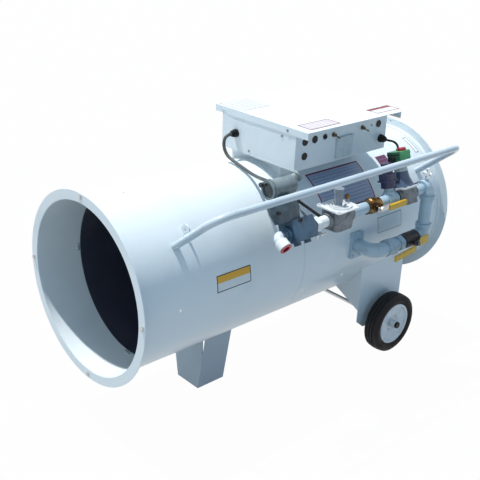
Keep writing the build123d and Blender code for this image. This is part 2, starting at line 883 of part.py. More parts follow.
# Box contents: the flame relay, the spark transformer and the terminal strip, on the floor.
with BuildPart() as control_electrics:
    floor_z = box_floor + box_wall
    for share, part_y, size in (
        (0.19, -40, relay_size),
        (0.51, -20, transformer_size),
        (0.84, -60, terminal_size),
    ):
        with Locations((box_x + share * box_len, part_y, floor_z)):
            Box(*size, align=(Align.CENTER, Align.CENTER, Align.MIN))
    fillet(control_electrics.edges().filter_by(Axis.Z), 4)
finish(control_electrics, "control_electrics")


# ---- handle rail -----------------------------------------------------------------------------
# One bent tube: a foot at each end stands square on the drum and a long grip joins them.
with BuildPart() as handle_rail:
    rail_plane = radial(rail_angle)
    with BuildLine(rail_plane) as rail_line:
        FilletPolyline(
            (rail_x, drum_r - 20),
            (rail_x, rail_reach),
            (rail_end_x, rail_reach),
            (rail_end_x, drum_r - 20),
            radius=rail_bend,
        )
    with BuildSketch(Plane(origin=rail_line.line @ 0, z_dir=rail_line.line % 0)) as rail_face:
        Circle(rail_r)
        Circle(rail_r - rail_wall, mode=Mode.SUBTRACT)
    sweep(rail_face.sketch, path=rail_line.line)
    drum_cut(outer_seat_r)
finish(handle_rail, "handle_rail")


# ---- gas train: inlet ------------------------------------------------------------------------
inlet_way = Vector(0, -cos(radians(inlet_dip)), -sin(radians(inlet_dip)))
inlet_mid = Vector(inlet_x, train_y, train_z)

# Street elbow: turns the gas inlet from the pipe run to face the operator.
with BuildPart() as inlet_elbow:
    valve_seat = (valve_x - valve_half + thread_len, train_y, train_z)
    arm_end = tuple(inlet_mid + inlet_way * inlet_arm)
    swept((arm_end, tuple(inlet_mid), valve_seat), street_r + 0.2, street_r, gas_bore_r - 3)
    with BuildSketch(Plane(origin=inlet_mid + Vector(coupling_r + 2, 0, 0), z_dir=(1, 0, 0))) as shoulder_face:
        Circle(pipe_r - seat_gap)
        Circle(street_r - 0.5, mode=Mode.SUBTRACT)
    extrude(amount=valve_x - valve_half + thread_len - inlet_x - coupling_r - 2)
finish(inlet_elbow, "inlet_elbow")

with BuildPart() as inlet_coupling:
    coupling_start = inlet_mid + inlet_way * inlet_arm
    coupling_end = coupling_start + inlet_way * coupling_len
    bar(coupling_start, coupling_end, coupling_r)
    bar(coupling_start, coupling_end, gas_bore_r, Mode.SUBTRACT)
    chamfer(inlet_coupling.edges().filter_by(GeomType.CIRCLE).sort_by(SortBy.RADIUS)[-2:], 2)
finish(inlet_coupling, "inlet_coupling")

# Thread cap: the red plastic ring plug that keeps dirt out of the inlet.
with BuildPart() as thread_cap:
    bar(coupling_end, coupling_end + inlet_way * cap_t, coupling_r - 2)
    bar(coupling_end, coupling_end - inlet_way * 12, gas_bore_r - seat_gap)
    bar(coupling_end + inlet_way * cap_t, coupling_end - inlet_way * 6, gas_bore_r - 5, Mode.SUBTRACT)
finish(thread_cap, "thread_cap")

# ---- gas train: actuated shut-off valve ------------------------------------------------------
valve_plane = leaning(valve_x, valve_lean)


def mouth(face, inward, pipe):
    """A threaded mouth for a pipe of a radius, from a port's face in along a unit direction."""
    bar(face, face + inward * (thread_len + 2), pipe + seat_gap, Mode.SUBTRACT)


def bored_ports(x, half, radius):
    """Two pipe ports along X with threaded mouths."""
    bar((x - half, train_y, train_z), (x + half, train_y, train_z), radius)
    for end in (-1, 1):
        mouth(Vector(x + end * half, train_y, train_z), Vector(-end, 0, 0), pipe_r)


with BuildPart() as actuated_valve:
    width, depth, height = valve_block
    block(valve_plane, bonnet_z - 8 - height, bonnet_z - 8, width, depth, 14)
    block(valve_plane, bonnet_z - 8, bonnet_z, width - 6, depth - 2, 10)
    bottom = valve_plane.offset(bonnet_z - 8 - height)
    with BuildSketch(bottom) as drain_face:
        with Locations((-24, 0), (24, 0)):
            RegularPolygon(13, 6)
    extrude(drain_face.sketch, amount=-13)
    bored_ports(valve_x, valve_half, port_r)
finish(actuated_valve, "actuated_valve")

# Actuator housing: a cast pot that widens upwards, with a neck under the drive head.
with BuildPart() as actuator_housing:
    housing_plane = leaning(valve_x + housing_shift, valve_lean)
    waist = housing_plane.offset(bonnet_z)
    with BuildSketch(waist) as waist_face:
        RectangleRounded(*housing_low, 28)
    with BuildSketch(waist.offset(housing_waist)) as shoulder_face:
        RectangleRounded(*housing_shoulder, 36)
    loft([waist_face.sketch, shoulder_face.sketch])
    shoulder_z = bonnet_z + housing_waist
    block(housing_plane, shoulder_z, shoulder_z + housing_h, housing_shoulder[0] + 4, housing_shoulder[1] + 4, 38)
    block(housing_plane, shoulder_z + housing_h, head_z, *housing_neck, 12)
    head_mid = valve_plane.from_local_coords(Vector(0, 0, head_z))
    head_start = (head_x, head_mid.Y, head_mid.Z)
    head_end = (head_x + head_len, head_mid.Y, head_mid.Z)
    past_end = (head_end[0] + 40, *head_start[1:])
    bar((head_x - 20, *head_start[1:]), past_end, head_r + 3 + seat_gap, Mode.SUBTRACT)
finish(actuator_housing, "actuator_housing")

# Drive head: a grey cast cylinder with a dished end, a conduit hub and a tilted end cap.
with BuildPart() as actuator_head:
    bar(head_start, head_end, head_r)
    bar((head_x + 8, *head_start[1:]), (head_x + 14, *head_start[1:]), head_r + 3)
    bar(head_start, (head_x + head_recess, *head_start[1:]), head_r - 7, Mode.SUBTRACT)
    bar(head_end, (head_x + head_len + 9, *head_start[1:]), head_r - 6)
    cap_way = Vector(cos(radians(head_cap_lean)), 0, sin(radians(head_cap_lean)))
    cap_start = Vector(head_x + head_len - 12, head_mid.Y, head_mid.Z + 6)
    bar(cap_start, cap_start + cap_way * 2.2 * head_cap_r, head_cap_r)
    bar(cap_start + cap_way * 2.2 * head_cap_r, cap_start + cap_way * 2.8 * head_cap_r, head_cap_r + 3)
    hub_x = head_x + 53
    hub_z = head_mid.Z + 5
    hub_end = head_mid.Y + head_r + 18
    bar((hub_x, head_mid.Y, hub_z), (hub_x, hub_end, hub_z), conduit_hub_r)
    knob_spot = (head_x, head_mid.Y + head_r - 4, head_mid.Z + 12)
    bar((head_x + 20, *knob_spot[1:]), (head_x - 8, *knob_spot[1:]), knob_r)
finish(actuator_head, "actuator_head")

# ---- gas train: regulator --------------------------------------------------------------------
regulator_plane = leaning(regulator_x, 0)

with BuildPart() as regulator_body:
    width, depth, height = regulator_block
    with BuildSketch(regulator_plane.offset(-regulator_sink)) as low_face:
        RectangleRounded(width - 8, depth - 8, 20)
    with BuildSketch(regulator_plane.offset(height - regulator_sink)) as high_face:
        RectangleRounded(width, depth, 20)
    loft([low_face.sketch, high_face.sketch])
    fillet(regulator_body.edges().group_by(Axis.Z)[0], 10)
    bored_ports(regulator_x, regulator_half, port_r)
finish(regulator_body, "regulator_body")

cover_low = regulator_block[2] - regulator_sink
with BuildPart() as regulator_cover:
    block(regulator_plane, cover_low, cover_low + cover_t, cover_w, cover_d, 10)
    rib_plane = regulator_plane.offset(cover_low + cover_t)
    with BuildSketch(rib_plane) as rib_face:
        Circle(46)
        Circle(40, mode=Mode.SUBTRACT)
        with Locations((tower_x, 0)):
            Circle(30)
            Circle(24, mode=Mode.SUBTRACT)
        with Locations((vent_x, 0)):
            Circle(vent_r + 4)
    extrude(rib_face.sketch, amount=6)
    with BuildSketch(rib_plane) as tower_face:
        with Locations((tower_x, 0)):
            Circle(tower_r)
    extrude(tower_face.sketch, amount=tower_h)
    with BuildSketch(rib_plane.offset(tower_h - 14)) as tower_cap_face:
        with Locations((tower_x, 0)):
            Circle(tower_r + 2.5)
    extrude(tower_cap_face.sketch, amount=18)
    with BuildSketch(rib_plane) as vent_face:
        with Locations((vent_x, 0)):
            Circle(vent_r)
    extrude(vent_face.sketch, amount=18)
    with BuildSketch(rib_plane) as corner_face:
        with GridLocations(cover_w - 18, cover_d - 18, 2, 2):
            RegularPolygon(6, 6)
    extrude(corner_face.sketch, amount=4)
finish(regulator_cover, "regulator_cover")

with BuildPart() as vent_plug:
    vent_seat = (regulator_x + vent_x, train_y, train_z + cover_low + cover_t + 18)
    vent_top = (vent_seat[0], vent_seat[1], vent_seat[2] + 9)
    hexagon_bar(vent_seat, vent_top, vent_r + 1)
    bar(vent_top, (vent_seat[0], vent_seat[1], vent_seat[2] + 13), vent_r - 2)
finish(vent_plug, "vent_plug")


# ---- gas train: hand valves ------------------------------------------------------------------
def barrel_valve(x, z, half, radius, pipe):
    """A ball valve's body about the pipe's axis, with a bored stem boss on the -Y side."""
    end_r = pipe + 4.5
    waist = half - 16
    barrel = (
        (x - half, z),
        (x - half, z + end_r),
        (x - waist, z + end_r),
        (x - waist + 6, z + radius),
        (x + waist - 6, z + radius),
        (x + waist, z + end_r),
        (x + half, z + end_r),
        (x + half, z),
    )
    face = outline(barrel, Plane.XZ.offset(-train_y))
    revolve(face, axis=Axis((0, train_y, z), (1, 0, 0)))
    boss_end = train_y - radius - 8
    bar((x, train_y, z), (x, boss_end, z), stem_r + 6)
    bar((x, boss_end, z), (x, boss_end + 24, z), stem_r + running_gap, Mode.SUBTRACT)
    for end in (-1, 1):
        mouth(Vector(x + end * half, train_y, z), Vector(-end, 0, 0), pipe)


with BuildPart() as brass_valve:
    barrel_valve(brass_x, train_z, brass_half, brass_r, pipe_r)
finish(brass_valve, "brass_valve")

with BuildPart() as black_valve:
    barrel_valve(black_x, return_z, black_half, black_r, drop_pipe_r)
finish(black_valve, "black_valve")


def stem_and_nut(x, z, radius):
    """A valve stem in its boss with the lever's nut; returns the lever's inner face."""
    lever_y = train_y - radius - 8 - lever_lift
    bar((x, lever_y - lever_t, z), (x, train_y - radius + 14, z), stem_r)
    hexagon_bar((x, lever_y - lever_t, z), (x, lever_y - lever_t - 7, z), 9)
    return lever_y


# Brass valve's lever: a flat bar with a dipped grip that lies along the pipe when open.
with BuildPart() as brass_lever:
    lever_y = stem_and_nut(brass_x, train_z, brass_r)
    bar_end = brass_lever_len - brass_grip_len
    with BuildSketch(Plane.XZ.offset(-lever_y)) as lever_face:
        with Locations((brass_x + bar_end / 2 - 6, train_z)):
            RectangleRounded(bar_end + 20, lever_w - 2, 5)
    extrude(lever_face.sketch, amount=lever_t)
    with BuildSketch(Plane.XZ.offset(-lever_y + lever_t / 2 - grip_t / 2)) as grip_face:
        with Locations((brass_x + brass_lever_len - brass_grip_len / 2, train_z - 5)):
            RectangleRounded(brass_grip_len, grip_w, 6)
    extrude(grip_face.sketch, amount=grip_t)
finish(brass_lever, "brass_lever")

# Black valve's lever: the bar steps out past the nut, with a short tail on the far side.
with BuildPart() as black_lever:
    lever_y = stem_and_nut(black_x, return_z, black_r)
    tilt = radians(black_lever_dip)
    lever_plane = Plane(
        origin=(black_x, lever_y, return_z), x_dir=(-cos(tilt), 0, -sin(tilt)), z_dir=(-sin(tilt), 0, cos(tilt))
    )
    step_start = 14.0
    step_end = 34.0
    bent_bar = (
        (-black_lever_tail, 0),
        (step_start, 0),
        (step_end, black_lever_step),
        (step_end + 8, black_lever_step),
        (step_end + 8, black_lever_step + lever_t),
        (step_end - 1, black_lever_step + lever_t),
        (step_start - 1, lever_t),
        (-black_lever_tail, lever_t),
    )
    extrude(outline(bent_bar, lever_plane), amount=lever_w / 2, both=True)
    tail_plane = lever_plane.offset(0)
    tail = (
        (-black_lever_tail, 0),
        (-12, 0),
        (-12, lever_t),
        (-black_lever_tail, lever_t),
    )
    extrude(outline(tail, tail_plane), amount=17, both=True)
    grip_start = step_end + 4
    grip_out = black_lever_step + lever_t / 2 - grip_t / 2
    grip = (
        (grip_start, grip_out),
        (black_lever_len, grip_out),
        (black_lever_len, grip_out + grip_t),
        (grip_start, grip_out + grip_t),
    )
    extrude(outline(grip, lever_plane), amount=grip_w / 2, both=True)
finish(black_lever, "black_lever")

# ---- gas train: pressure switch --------------------------------------------------------------
tee_plane = leaning(tee_x, side_lean)
switch_low = 44.0

with BuildPart() as pressure_switch:
    with BuildSketch(tee_plane.offset(switch_low)) as switch_base:
        Circle(27)
    extrude(switch_base.sketch, amount=24)
    block(tee_plane, switch_low + 24, switch_low + 28, 62, 58, 10)
    block(tee_plane, switch_low + 28, switch_low + 52, 54, 50, 12)
    with BuildSketch(tee_plane.offset(switch_low + 52)) as switch_cap:
        RegularPolygon(21, 8)
    extrude(switch_cap.sketch, amount=38)
finish(pressure_switch, "pressure_switch")

# ---- gas train: solenoid valve ---------------------------------------------------------------
solenoid_plane = leaning(solenoid_x, solenoid_lean)
solenoid_top = 32.0

with BuildPart() as solenoid_valve:
    block(solenoid_plane, -34, solenoid_top - 6, 84, 72, 22)
    block(solenoid_plane, solenoid_top - 6, solenoid_top, solenoid_flange, solenoid_flange, 16)
    with BuildSketch(solenoid_plane.offset(solenoid_top)) as flange_bolt_face:
        with GridLocations(solenoid_flange - 22, solenoid_flange - 22, 2, 2):
            RegularPolygon(7, 6)
    extrude(flange_bolt_face.sketch, amount=5)
    with BuildSketch(solenoid_plane.offset(solenoid_top)) as bonnet_low:
        Circle(42)
    with BuildSketch(solenoid_plane.offset(solenoid_top + 30)) as bonnet_mid:
        Circle(29)
    with BuildSketch(solenoid_plane.offset(coil_low)) as bonnet_high:
        Circle(22)
    loft([bonnet_low.sketch, bonnet_mid.sketch])
    loft([bonnet_mid.sketch, bonnet_high.sketch])
    bored_ports(solenoid_x, solenoid_half, port_r)
finish(solenoid_valve, "solenoid_valve")

with BuildPart() as solenoid_coil:
    block(solenoid_plane, coil_low, coil_low + coil_h, coil_size, coil_size, 8)
    block(solenoid_plane, coil_low + coil_h - 12, coil_low + coil_h - 8, coil_size + 4, coil_size + 4, 10)
    hub_seat = solenoid_plane.from_local_coords(Vector(*coil_hub_spot, coil_low + coil_h))
    hub_nose = solenoid_plane.from_local_coords(Vector(*coil_hub_spot, coil_low + coil_h + 7))
    bar(hub_seat, hub_nose, 8)
    side_seat = solenoid_plane.from_local_coords(Vector(-coil_size / 2, 4, coil_low + coil_h / 2))
    side_nose = solenoid_plane.from_local_coords(Vector(-coil_size / 2 - 14, 4, coil_low + coil_h / 2))
    bar(side_seat + Vector(6, 0, 0), side_nose, 12)
finish(solenoid_coil, "solenoid_coil")

with BuildPart() as coil_cap:
    cap_low = solenoid_plane.offset(coil_low + coil_h)
    with BuildSketch(cap_low) as cap_face:
        with Locations((6, -12)):
            Circle(15.5)
    extrude(cap_face.sketch, amount=12)
    fillet(coil_cap.edges().group_by(Axis.Z)[-1], 5)
finish(coil_cap, "coil_cap")

# ---- gas train: pipework ---------------------------------------------------------------------
def nipple(start, end, pipe):
    """A pipe between two ports, screwed into each of them."""
    way = (end - start).normalized()
    tip_a = start - way * thread_len
    tip_b = end + way * thread_len
    bar(tip_a, tip_b, pipe)
    return tip_a, tip_b


with BuildPart() as pipe_nipples:
    runs = [
        (Vector(run_start, train_y, train_z), Vector(run_end, train_y, train_z), pipe_r)
        for run_start, run_end in (
            (valve_x + valve_half, regulator_x - regulator_half),
            (regulator_x + regulator_half, brass_x - brass_half),
            (brass_x + brass_half, tee_x - tee_half),
            (tee_x + tee_half, solenoid_x - solenoid_half),
            (solenoid_x + solenoid_half, drop_x - elbow_arm),
        )
    ]
    drop_top = Vector(drop_x, train_y, train_z - elbow_arm)
    drop_low = Vector(drop_x, train_y, return_z + elbow_arm)
    hex_start = Vector(black_x - black_half - hex_nipple_len, train_y, return_z)
    hex_end = Vector(black_x - black_half, train_y, return_z)
    runs += [(drop_top, drop_low, drop_pipe_r), (hex_start, hex_end, drop_pipe_r)]
    tips = [nipple(*run) for run in runs]
    nut_start = valve_x + valve_half
    hexagon_bar((nut_start, train_y, train_z), (nut_start + 18, train_y, train_z), 31)
    hexagon_bar(hex_end - Vector(30, 0, 0), hex_end - Vector(8, 0, 0), 32)
    for (tip_a, tip_b), run in zip(tips, runs):
        bar(tip_a, tip_b, run[2] - pipe_wall, Mode.SUBTRACT)
    branch = tee_plane.from_local_coords(Vector(0, 0, port_r + 3))
    branch_end = tee_plane.from_local_coords(Vector(0, 0, switch_low))
    bar(branch, branch_end, pipe_r - 4)
finish(pipe_nipples, "pipe_nipples")


def pipe_elbow(mid, ways):
    """A cast elbow with a banded collar on each mouth, from (direction, pipe radius) pairs."""
    ends = (mid + ways[0][0] * elbow_arm, mid, mid + ways[1][0] * elbow_arm)
    swept([tuple(end) for end in ends], (elbow_arm - elbow_collar_len,), elbow_r)
    for way, pipe in ways:
        bar(mid + way * (elbow_arm - elbow_collar_len), mid + way * elbow_arm, elbow_collar_r)
        mouth(mid + way * elbow_arm, way * -1, pipe)


# Cast fittings: the elbows above and below the drop pipe, the switch's tee and the test cock.
with BuildPart() as pipe_elbows:
    pipe_elbow(
        Vector(drop_x, train_y, train_z),
        ((Vector(-1, 0, 0), pipe_r), (Vector(0, 0, -1), drop_pipe_r)),
    )
    pipe_elbow(
        Vector(drop_x, train_y, return_z),
        ((Vector(0, 0, 1), drop_pipe_r), (Vector(-1, 0, 0), drop_pipe_r)),
    )
    bar(tee_plane.origin, branch, port_r - 5)
    bored_ports(tee_x, tee_half, port_r)
    test_x = drop_x - 18
    bar((test_x, train_y, train_z + 18), (test_x, train_y, train_z + 48), 8)
    hexagon_bar((test_x, train_y, train_z + 48), (test_x, train_y, train_z + 60), 13)
    bar((test_x, train_y, train_z + 60), (test_x, train_y, train_z + 74), 6)
    hexagon_bar((test_x, train_y + 16, train_z + 54), (test_x, train_y - 18, train_z + 54), 7)
finish(pipe_elbows, "pipe_elbows")

with BuildPart() as pipe_union:
    union_end = black_x - black_half - hex_nipple_len
    bar((sweep_end_x, train_y, return_z), (union_end, train_y, return_z), sweep_r + 2)
    bar((sweep_end_x + 4, train_y, return_z), (sweep_end_x + 16, train_y, return_z), union_r - 2)
    hexagon_bar((sweep_end_x + 16, train_y, return_z), (union_end - 6, train_y, return_z), union_r + 2)
    bar((sweep_end_x, train_y, return_z), (union_end, train_y, return_z), gas_bore_r, Mode.SUBTRACT)
    mouth(Vector(union_end, train_y, return_z), Vector(-1, 0, 0), drop_pipe_r)
finish(pipe_union, "pipe_union")

# Sweep elbow: a wide bend welded to a bolted pad that is cut to the drum's side.
with BuildPart() as sweep_elbow:
    with BuildSketch(Plane.XZ.offset(-flange_y)) as pad_face:
        with Locations((sweep_x, return_z)):
            RectangleRounded(flange_w, flange_h, 8)
            Circle(gas_bore_r, mode=Mode.SUBTRACT)
    extrude(pad_face.sketch, amount=-30)
    bolt_dx, bolt_dz = flange_bolts
    for side_x in (-1, 1):
        for side_z in (-1, 1):
            spot_x = sweep_x + side_x * bolt_dx / 2
            spot_z = return_z + side_z * bolt_dz / 2
            hexagon_bar((spot_x, flange_y, spot_z), (spot_x, flange_y - 5, spot_z), 6.5)
    drum_cut(outer_seat_r)
    sweep_points = (
        (sweep_x, flange_y, return_z),
        (sweep_x, train_y, return_z),
        (sweep_end_x, train_y, return_z),
    )
    swept(sweep_points, (sweep_bend,), sweep_r, gas_bore_r)
finish(sweep_elbow, "sweep_elbow")

# Drain cock: a small needle cock under the first nipple, with a tee handle on its side.
cock_top = train_z - pipe_r - seat_gap
with BuildPart() as drain_cock:
    hexagon_bar((cock_x, train_y, cock_top), (cock_x, train_y, cock_top - 20), cock_r + 2)
    bar((cock_x, train_y, cock_top - 20), (cock_x, train_y, cock_top - cock_drop), cock_r - 3)
    cock_z = cock_top - 10
    bar((cock_x, train_y, cock_z), (cock_x, train_y - 14, cock_z), cock_r - 1)
    bar((cock_x, train_y - 2, cock_z), (cock_x, train_y - 15, cock_z), 3 + running_gap, Mode.SUBTRACT)
finish(drain_cock, "drain_cock")

with BuildPart() as drain_handle:
    bar((cock_x, train_y - 3, cock_z), (cock_x, train_y - 26, cock_z), 3)
    handle_half = tee_handle_len / 2
    bar((cock_x - handle_half, train_y - 24, cock_z), (cock_x + handle_half, train_y - 24, cock_z), 3.2)
finish(drain_handle, "drain_handle")

# ---- burner ----------------------------------------------------------------------------------
# Burner head: gas feed from the side pad, a round mixing can and a perforated flame cone.
with BuildPart() as burner_head:
    bar((burner_x, 0, 0), (burner_x + burner_len, 0, 0), burner_r)
    cone_back_r = burner_r + 6
    turned(
        (
            (burner_x, burner_r - 8),
            (burner_x, cone_back_r),
            (cone_mouth_x, cone_mouth_r),
            (cone_mouth_x, cone_mouth_r - cone_wall),
            (burner_x - cone_wall, cone_back_r - cone_wall),
            (burner_x - cone_wall, burner_r - 8),
        )
    )
    for row in range(cone_rows):
        share = (row + 1) / (cone_rows + 1)
        hole_x = burner_x + share * (cone_mouth_x - burner_x)
        hole_r = cone_back_r + share * (cone_mouth_r - cone_back_r)
        for turn in range(cone_holes):
            angle = radians(360 * (turn + row / 2) / cone_holes)
            way = Vector(0.5, cos(angle), sin(angle))
            spot = Vector(hole_x, hole_r * cos(angle), hole_r * sin(angle))
            bar(spot - way * 12, spot + way * 12, cone_hole_r, Mode.SUBTRACT)
    bar((cone_mouth_x, rod_y, rod_z), (burner_x - 1, rod_y, rod_z), 6, Mode.SUBTRACT)
    feed_tip = flange_y + 3
    bar((sweep_x, 0, 0), (sweep_x, feed_tip, 0), gas_bore_r - seat_gap)
finish(burner_head, "burner_head")

with BuildPart() as spark_igniter:
    hexagon_bar((burner_x - 20, rod_y, rod_z), (burner_x + 20, rod_y, rod_z), 11)
    bar((burner_x + 20, rod_y, rod_z), (burner_x + 62, rod_y, rod_z), 6)
    bar((burner_x - 60, rod_y, rod_z), (burner_x - 20, rod_y, rod_z), 2.5)
    with BuildSketch(Plane.YZ.offset(burner_x + 4)) as bracket_face:
        with Locations((rod_y / 2, rod_z / 2)):
            Rectangle(24, 110, rotation=-24.7)
    extrude(bracket_face.sketch, amount=3)
    bar((burner_x - 1, 0, 0), (burner_x + 30, 0, 0), burner_r + seat_gap, Mode.SUBTRACT)
finish(spark_igniter, "spark_igniter")

# Air baffle: a slotted plate across the drum behind the burner.
with BuildPart() as air_baffle:
    turned(
        (
            (baffle_x, burner_r + 12),
            (baffle_x, inner_seat_r),
            (baffle_x + 22, inner_seat_r),
            (baffle_x + 22, inner_seat_r - baffle_t),
            (baffle_x + baffle_t, inner_seat_r - baffle_t),
            (baffle_x + baffle_t, burner_r + 12),
        )
    )
    with BuildSketch(Plane.YZ.offset(baffle_x - 1)) as slot_face:
        with PolarLocations(190, baffle_slots):
            SlotOverall(baffle_slot_len, baffle_slot_w)
    extrude(slot_face.sketch, amount=baffle_t + 2, mode=Mode.SUBTRACT)
finish(air_baffle, "air_baffle")

# ---- fan and motor ---------------------------------------------------------------------------
with BuildPart() as fan:
    hub_mid = fan_x + fan_hub_len / 2
    bar((fan_x, 0, 0), (fan_x + fan_hub_len, 0, 0), fan_hub_r)
    for turn in range(fan_blades):
        angle = radians(360 * turn / fan_blades)
        spoke = Vector(0, cos(angle), sin(angle))
        across = Vector(0, -sin(angle), cos(angle))
        faces = []
        for reach, pitch, chord in (
            (fan_hub_r - 8, blade_root_pitch, blade_chord_root),
            (fan_r, blade_tip_pitch, blade_chord_tip),
        ):
            lie = across * cos(radians(pitch)) + Vector(1, 0, 0) * sin(radians(pitch))
            station = Plane(origin=Vector(hub_mid, 0, 0) + spoke * reach, x_dir=lie, z_dir=spoke)
            with BuildSketch(station) as blade_face:
                Rectangle(chord, blade_t)
            faces.append(blade_face.sketch)
        loft(faces, ruled=True)
    turned(((0, fan_r - 2), (drum_len, fan_r - 2), (drum_len, drum_r), (0, drum_r)), Mode.SUBTRACT)
    bar((fan_x - 1, 0, 0), (fan_x + fan_hub_len + 1, 0, 0), shaft_r + running_gap, Mode.SUBTRACT)
finish(fan, "fan")

band_x = motor_x + 40
band_end = band_x + band_len
with BuildPart() as fan_motor:
    bar((motor_x, 0, 0), (motor_x + motor_len, 0, 0), motor_r)
    fillet(fan_motor.edges().filter_by(GeomType.CIRCLE), 12)
    bar((fan_x - 4, 0, 0), (motor_x + 10, 0, 0), shaft_r)
    bar((fan_x + fan_hub_len + 2, 0, 0), (motor_x + 10, 0, 0), 30)
    with Locations((band_end + 5, 0, motor_r - 13)):
        Box(90, 60, 46, align=(Align.MIN, Align.CENTER, Align.MIN))
finish(fan_motor, "fan_motor")

# Motor mount: the fan's orifice plate, a clamp band round the motor and arms between them.
with BuildPart() as motor_mount:
    orifice_r = fan_r + fan_clear
    turned(
        (
            (shroud_x, orifice_r),
            (shroud_x, inner_seat_r),
            (band_end, inner_seat_r),
            (band_end, inner_seat_r - shroud_wall),
            (shroud_x + shroud_wall, inner_seat_r - shroud_wall),
            (shroud_x + shroud_wall, orifice_r),
        )
    )
    turned(
        (
            (band_x, motor_r + seat_gap),
            (band_x, motor_r + seat_gap + 4),
            (band_end, motor_r + seat_gap + 4),
            (band_end, motor_r + seat_gap),
        )
    )
    for turn in range(4):
        angle = radians(45 + 90 * turn)
        arm_plane = Plane(origin=(0, 0, 0), x_dir=(1, 0, 0), z_dir=(0, -sin(angle), cos(angle)))
        arm = (
            (band_x, motor_r + 3),
            (band_x, inner_seat_r - 1),
            (band_end, inner_seat_r - 1),
            (band_end, motor_r + 3),
        )
        extrude(outline(arm, arm_plane), amount=2, both=True)
finish(motor_mount, "motor_mount")

# Inlet guard: welded wire rings on radial spokes, inside the inlet ring.
with BuildPart() as inlet_guard:
    outer_wire_r = inner_seat_r - guard_wire
    for ring in range(guard_rings):
        wire_ring_r = outer_wire_r * (ring + 1) / guard_rings
        with Locations(Location((guard_x, 0, 0), (0, 90, 0))):
            Torus(wire_ring_r, guard_wire)
    for turn in range(guard_spokes):
        angle = radians(360 * (turn + 0.5) / guard_spokes)
        way = Vector(0, cos(angle), sin(angle))
        spoke_start = Vector(guard_x + 1.5 * guard_wire, 0, 0) + way * (outer_wire_r / guard_rings - 4)
        spoke_end = Vector(guard_x + 1.5 * guard_wire, 0, 0) + way * (outer_wire_r + 0.5)
        bar(spoke_start, spoke_end, guard_wire)
finish(inlet_guard, "inlet_guard")

# ---- held cords ------------------------------------------------------------------------------
# Flexible conduit: from the box's left gland down over the drum to the drive head's hub.
conduit_start = conduit_seat + Vector(-gland_len, 0, 0)
conduit_points = (
    tuple(conduit_start),
    (box_x - 55.0, conduit_gland_y, conduit_gland_z),
    (box_x - 65.0, 58.0, 361.0),
    (box_x - 64.0, 37.0, 330.0),
    (box_x - 61.6, 6.0, 318.2),
    (box_x - 72.4, -52.0, 313.8),
    (box_x - 77.0, -100.0, 306.0),
    (box_x - 97.0, -157.0, 311.0),
    (hub_x, hub_end + 26.0, hub_z),
    (hub_x, hub_end, hub_z),
)
with BuildPart() as flex_conduit:
    conduit_radii = arc_radii(conduit_points)
    swept(conduit_points, conduit_radii, conduit_r)
finish(flex_conduit, "flex_conduit")

# Solenoid cable: from the front gland forward and down into the coil's top hub.
cable_start = cable_seat + Vector(0, -gland_len, 0)
cable_points = (
    tuple(cable_start),
    (cable_gland_x, -284.0, cable_gland_z),
    (cable_gland_x - 3.0, -306.0, 379.0),
    tuple(hub_nose + solenoid_plane.z_dir * 15),
    tuple(hub_nose),
)
with BuildPart() as solenoid_cable:
    cable_radii = arc_radii(cable_points)
    swept(cable_points, cable_radii, cable_r)
finish(solenoid_cable, "solenoid_cable")

for cord_name, cord, radii, cord_r in (
    ("flex_conduit", flex_conduit, conduit_radii, conduit_r),
    ("solenoid_cable", solenoid_cable, cable_radii, cable_r),
):
    print(cord_name, "corner radii", [round(radius, 1) for radius in radii])
    print(cord_name, "length from volume", round(cord.part.volume / (3.14159265 * cord_r**2), 1))
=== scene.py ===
import math
import bpy
import numpy as np
from mathutils import Matrix, Vector


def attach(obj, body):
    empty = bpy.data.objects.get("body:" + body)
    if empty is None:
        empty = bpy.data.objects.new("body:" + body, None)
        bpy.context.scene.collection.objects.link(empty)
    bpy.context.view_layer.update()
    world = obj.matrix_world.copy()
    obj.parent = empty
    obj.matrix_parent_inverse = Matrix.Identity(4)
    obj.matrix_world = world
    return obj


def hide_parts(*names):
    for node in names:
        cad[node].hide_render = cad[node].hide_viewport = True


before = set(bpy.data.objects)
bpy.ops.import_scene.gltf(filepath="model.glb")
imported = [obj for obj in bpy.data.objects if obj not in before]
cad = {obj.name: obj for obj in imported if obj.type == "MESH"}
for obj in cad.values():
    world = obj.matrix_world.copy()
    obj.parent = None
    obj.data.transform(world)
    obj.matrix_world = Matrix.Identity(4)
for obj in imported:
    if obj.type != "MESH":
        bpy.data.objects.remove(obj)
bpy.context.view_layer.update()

# ---- Drum ------------------------------------------------------------------------------------
# Two rolled sheets lapped at a seam and baked in a pale blue-white powder coat, even but for faint
# orange peel and dust. The same coat is on the rings, the rear legs and the control box.


def srgb(red, green, blue):
    """A colour given as 0-255 screen values, as linear light with alpha 1."""
    shares = [c / 255 for c in (red, green, blue)]
    return tuple(c / 12.92 if c <= 0.04045 else ((c + 0.055) / 1.055) ** 2.4 for c in shares) + (1.0,)


def link(tree, start, end):
    """Joins one node's output socket to another node's input socket."""
    tree.links.new(start, end)


def feed(tree, value, socket):
    """Links an output socket to an input socket, or sets the input to a plain value."""
    if isinstance(value, bpy.types.NodeSocket):
        link(tree, value, socket)
    else:
        socket.default_value = value


def add_node(tree, kind, **settings):
    """A new node with its settings, such as operation or data_type."""
    node = tree.nodes.new(kind)
    for name, value in settings.items():
        setattr(node, name, value)
    return node


def maths(tree, operation, *values):
    """The result of one maths node; each value is a number or an output socket."""
    node = add_node(tree, "ShaderNodeMath", operation=operation)
    for value, socket in zip(values, node.inputs):
        feed(tree, value, socket)
    return node.outputs["Value"]


def mixed(tree, share, under, over, data_type="RGBA"):
    """Blends two colours or numbers: all of the first at share 0, all of the second at share 1."""
    node = add_node(tree, "ShaderNodeMix", data_type=data_type)
    for name, value in (("Factor", share), ("A", under), ("B", over)):
        feed(tree, value, node.inputs[name])
    return node.outputs["Result"]


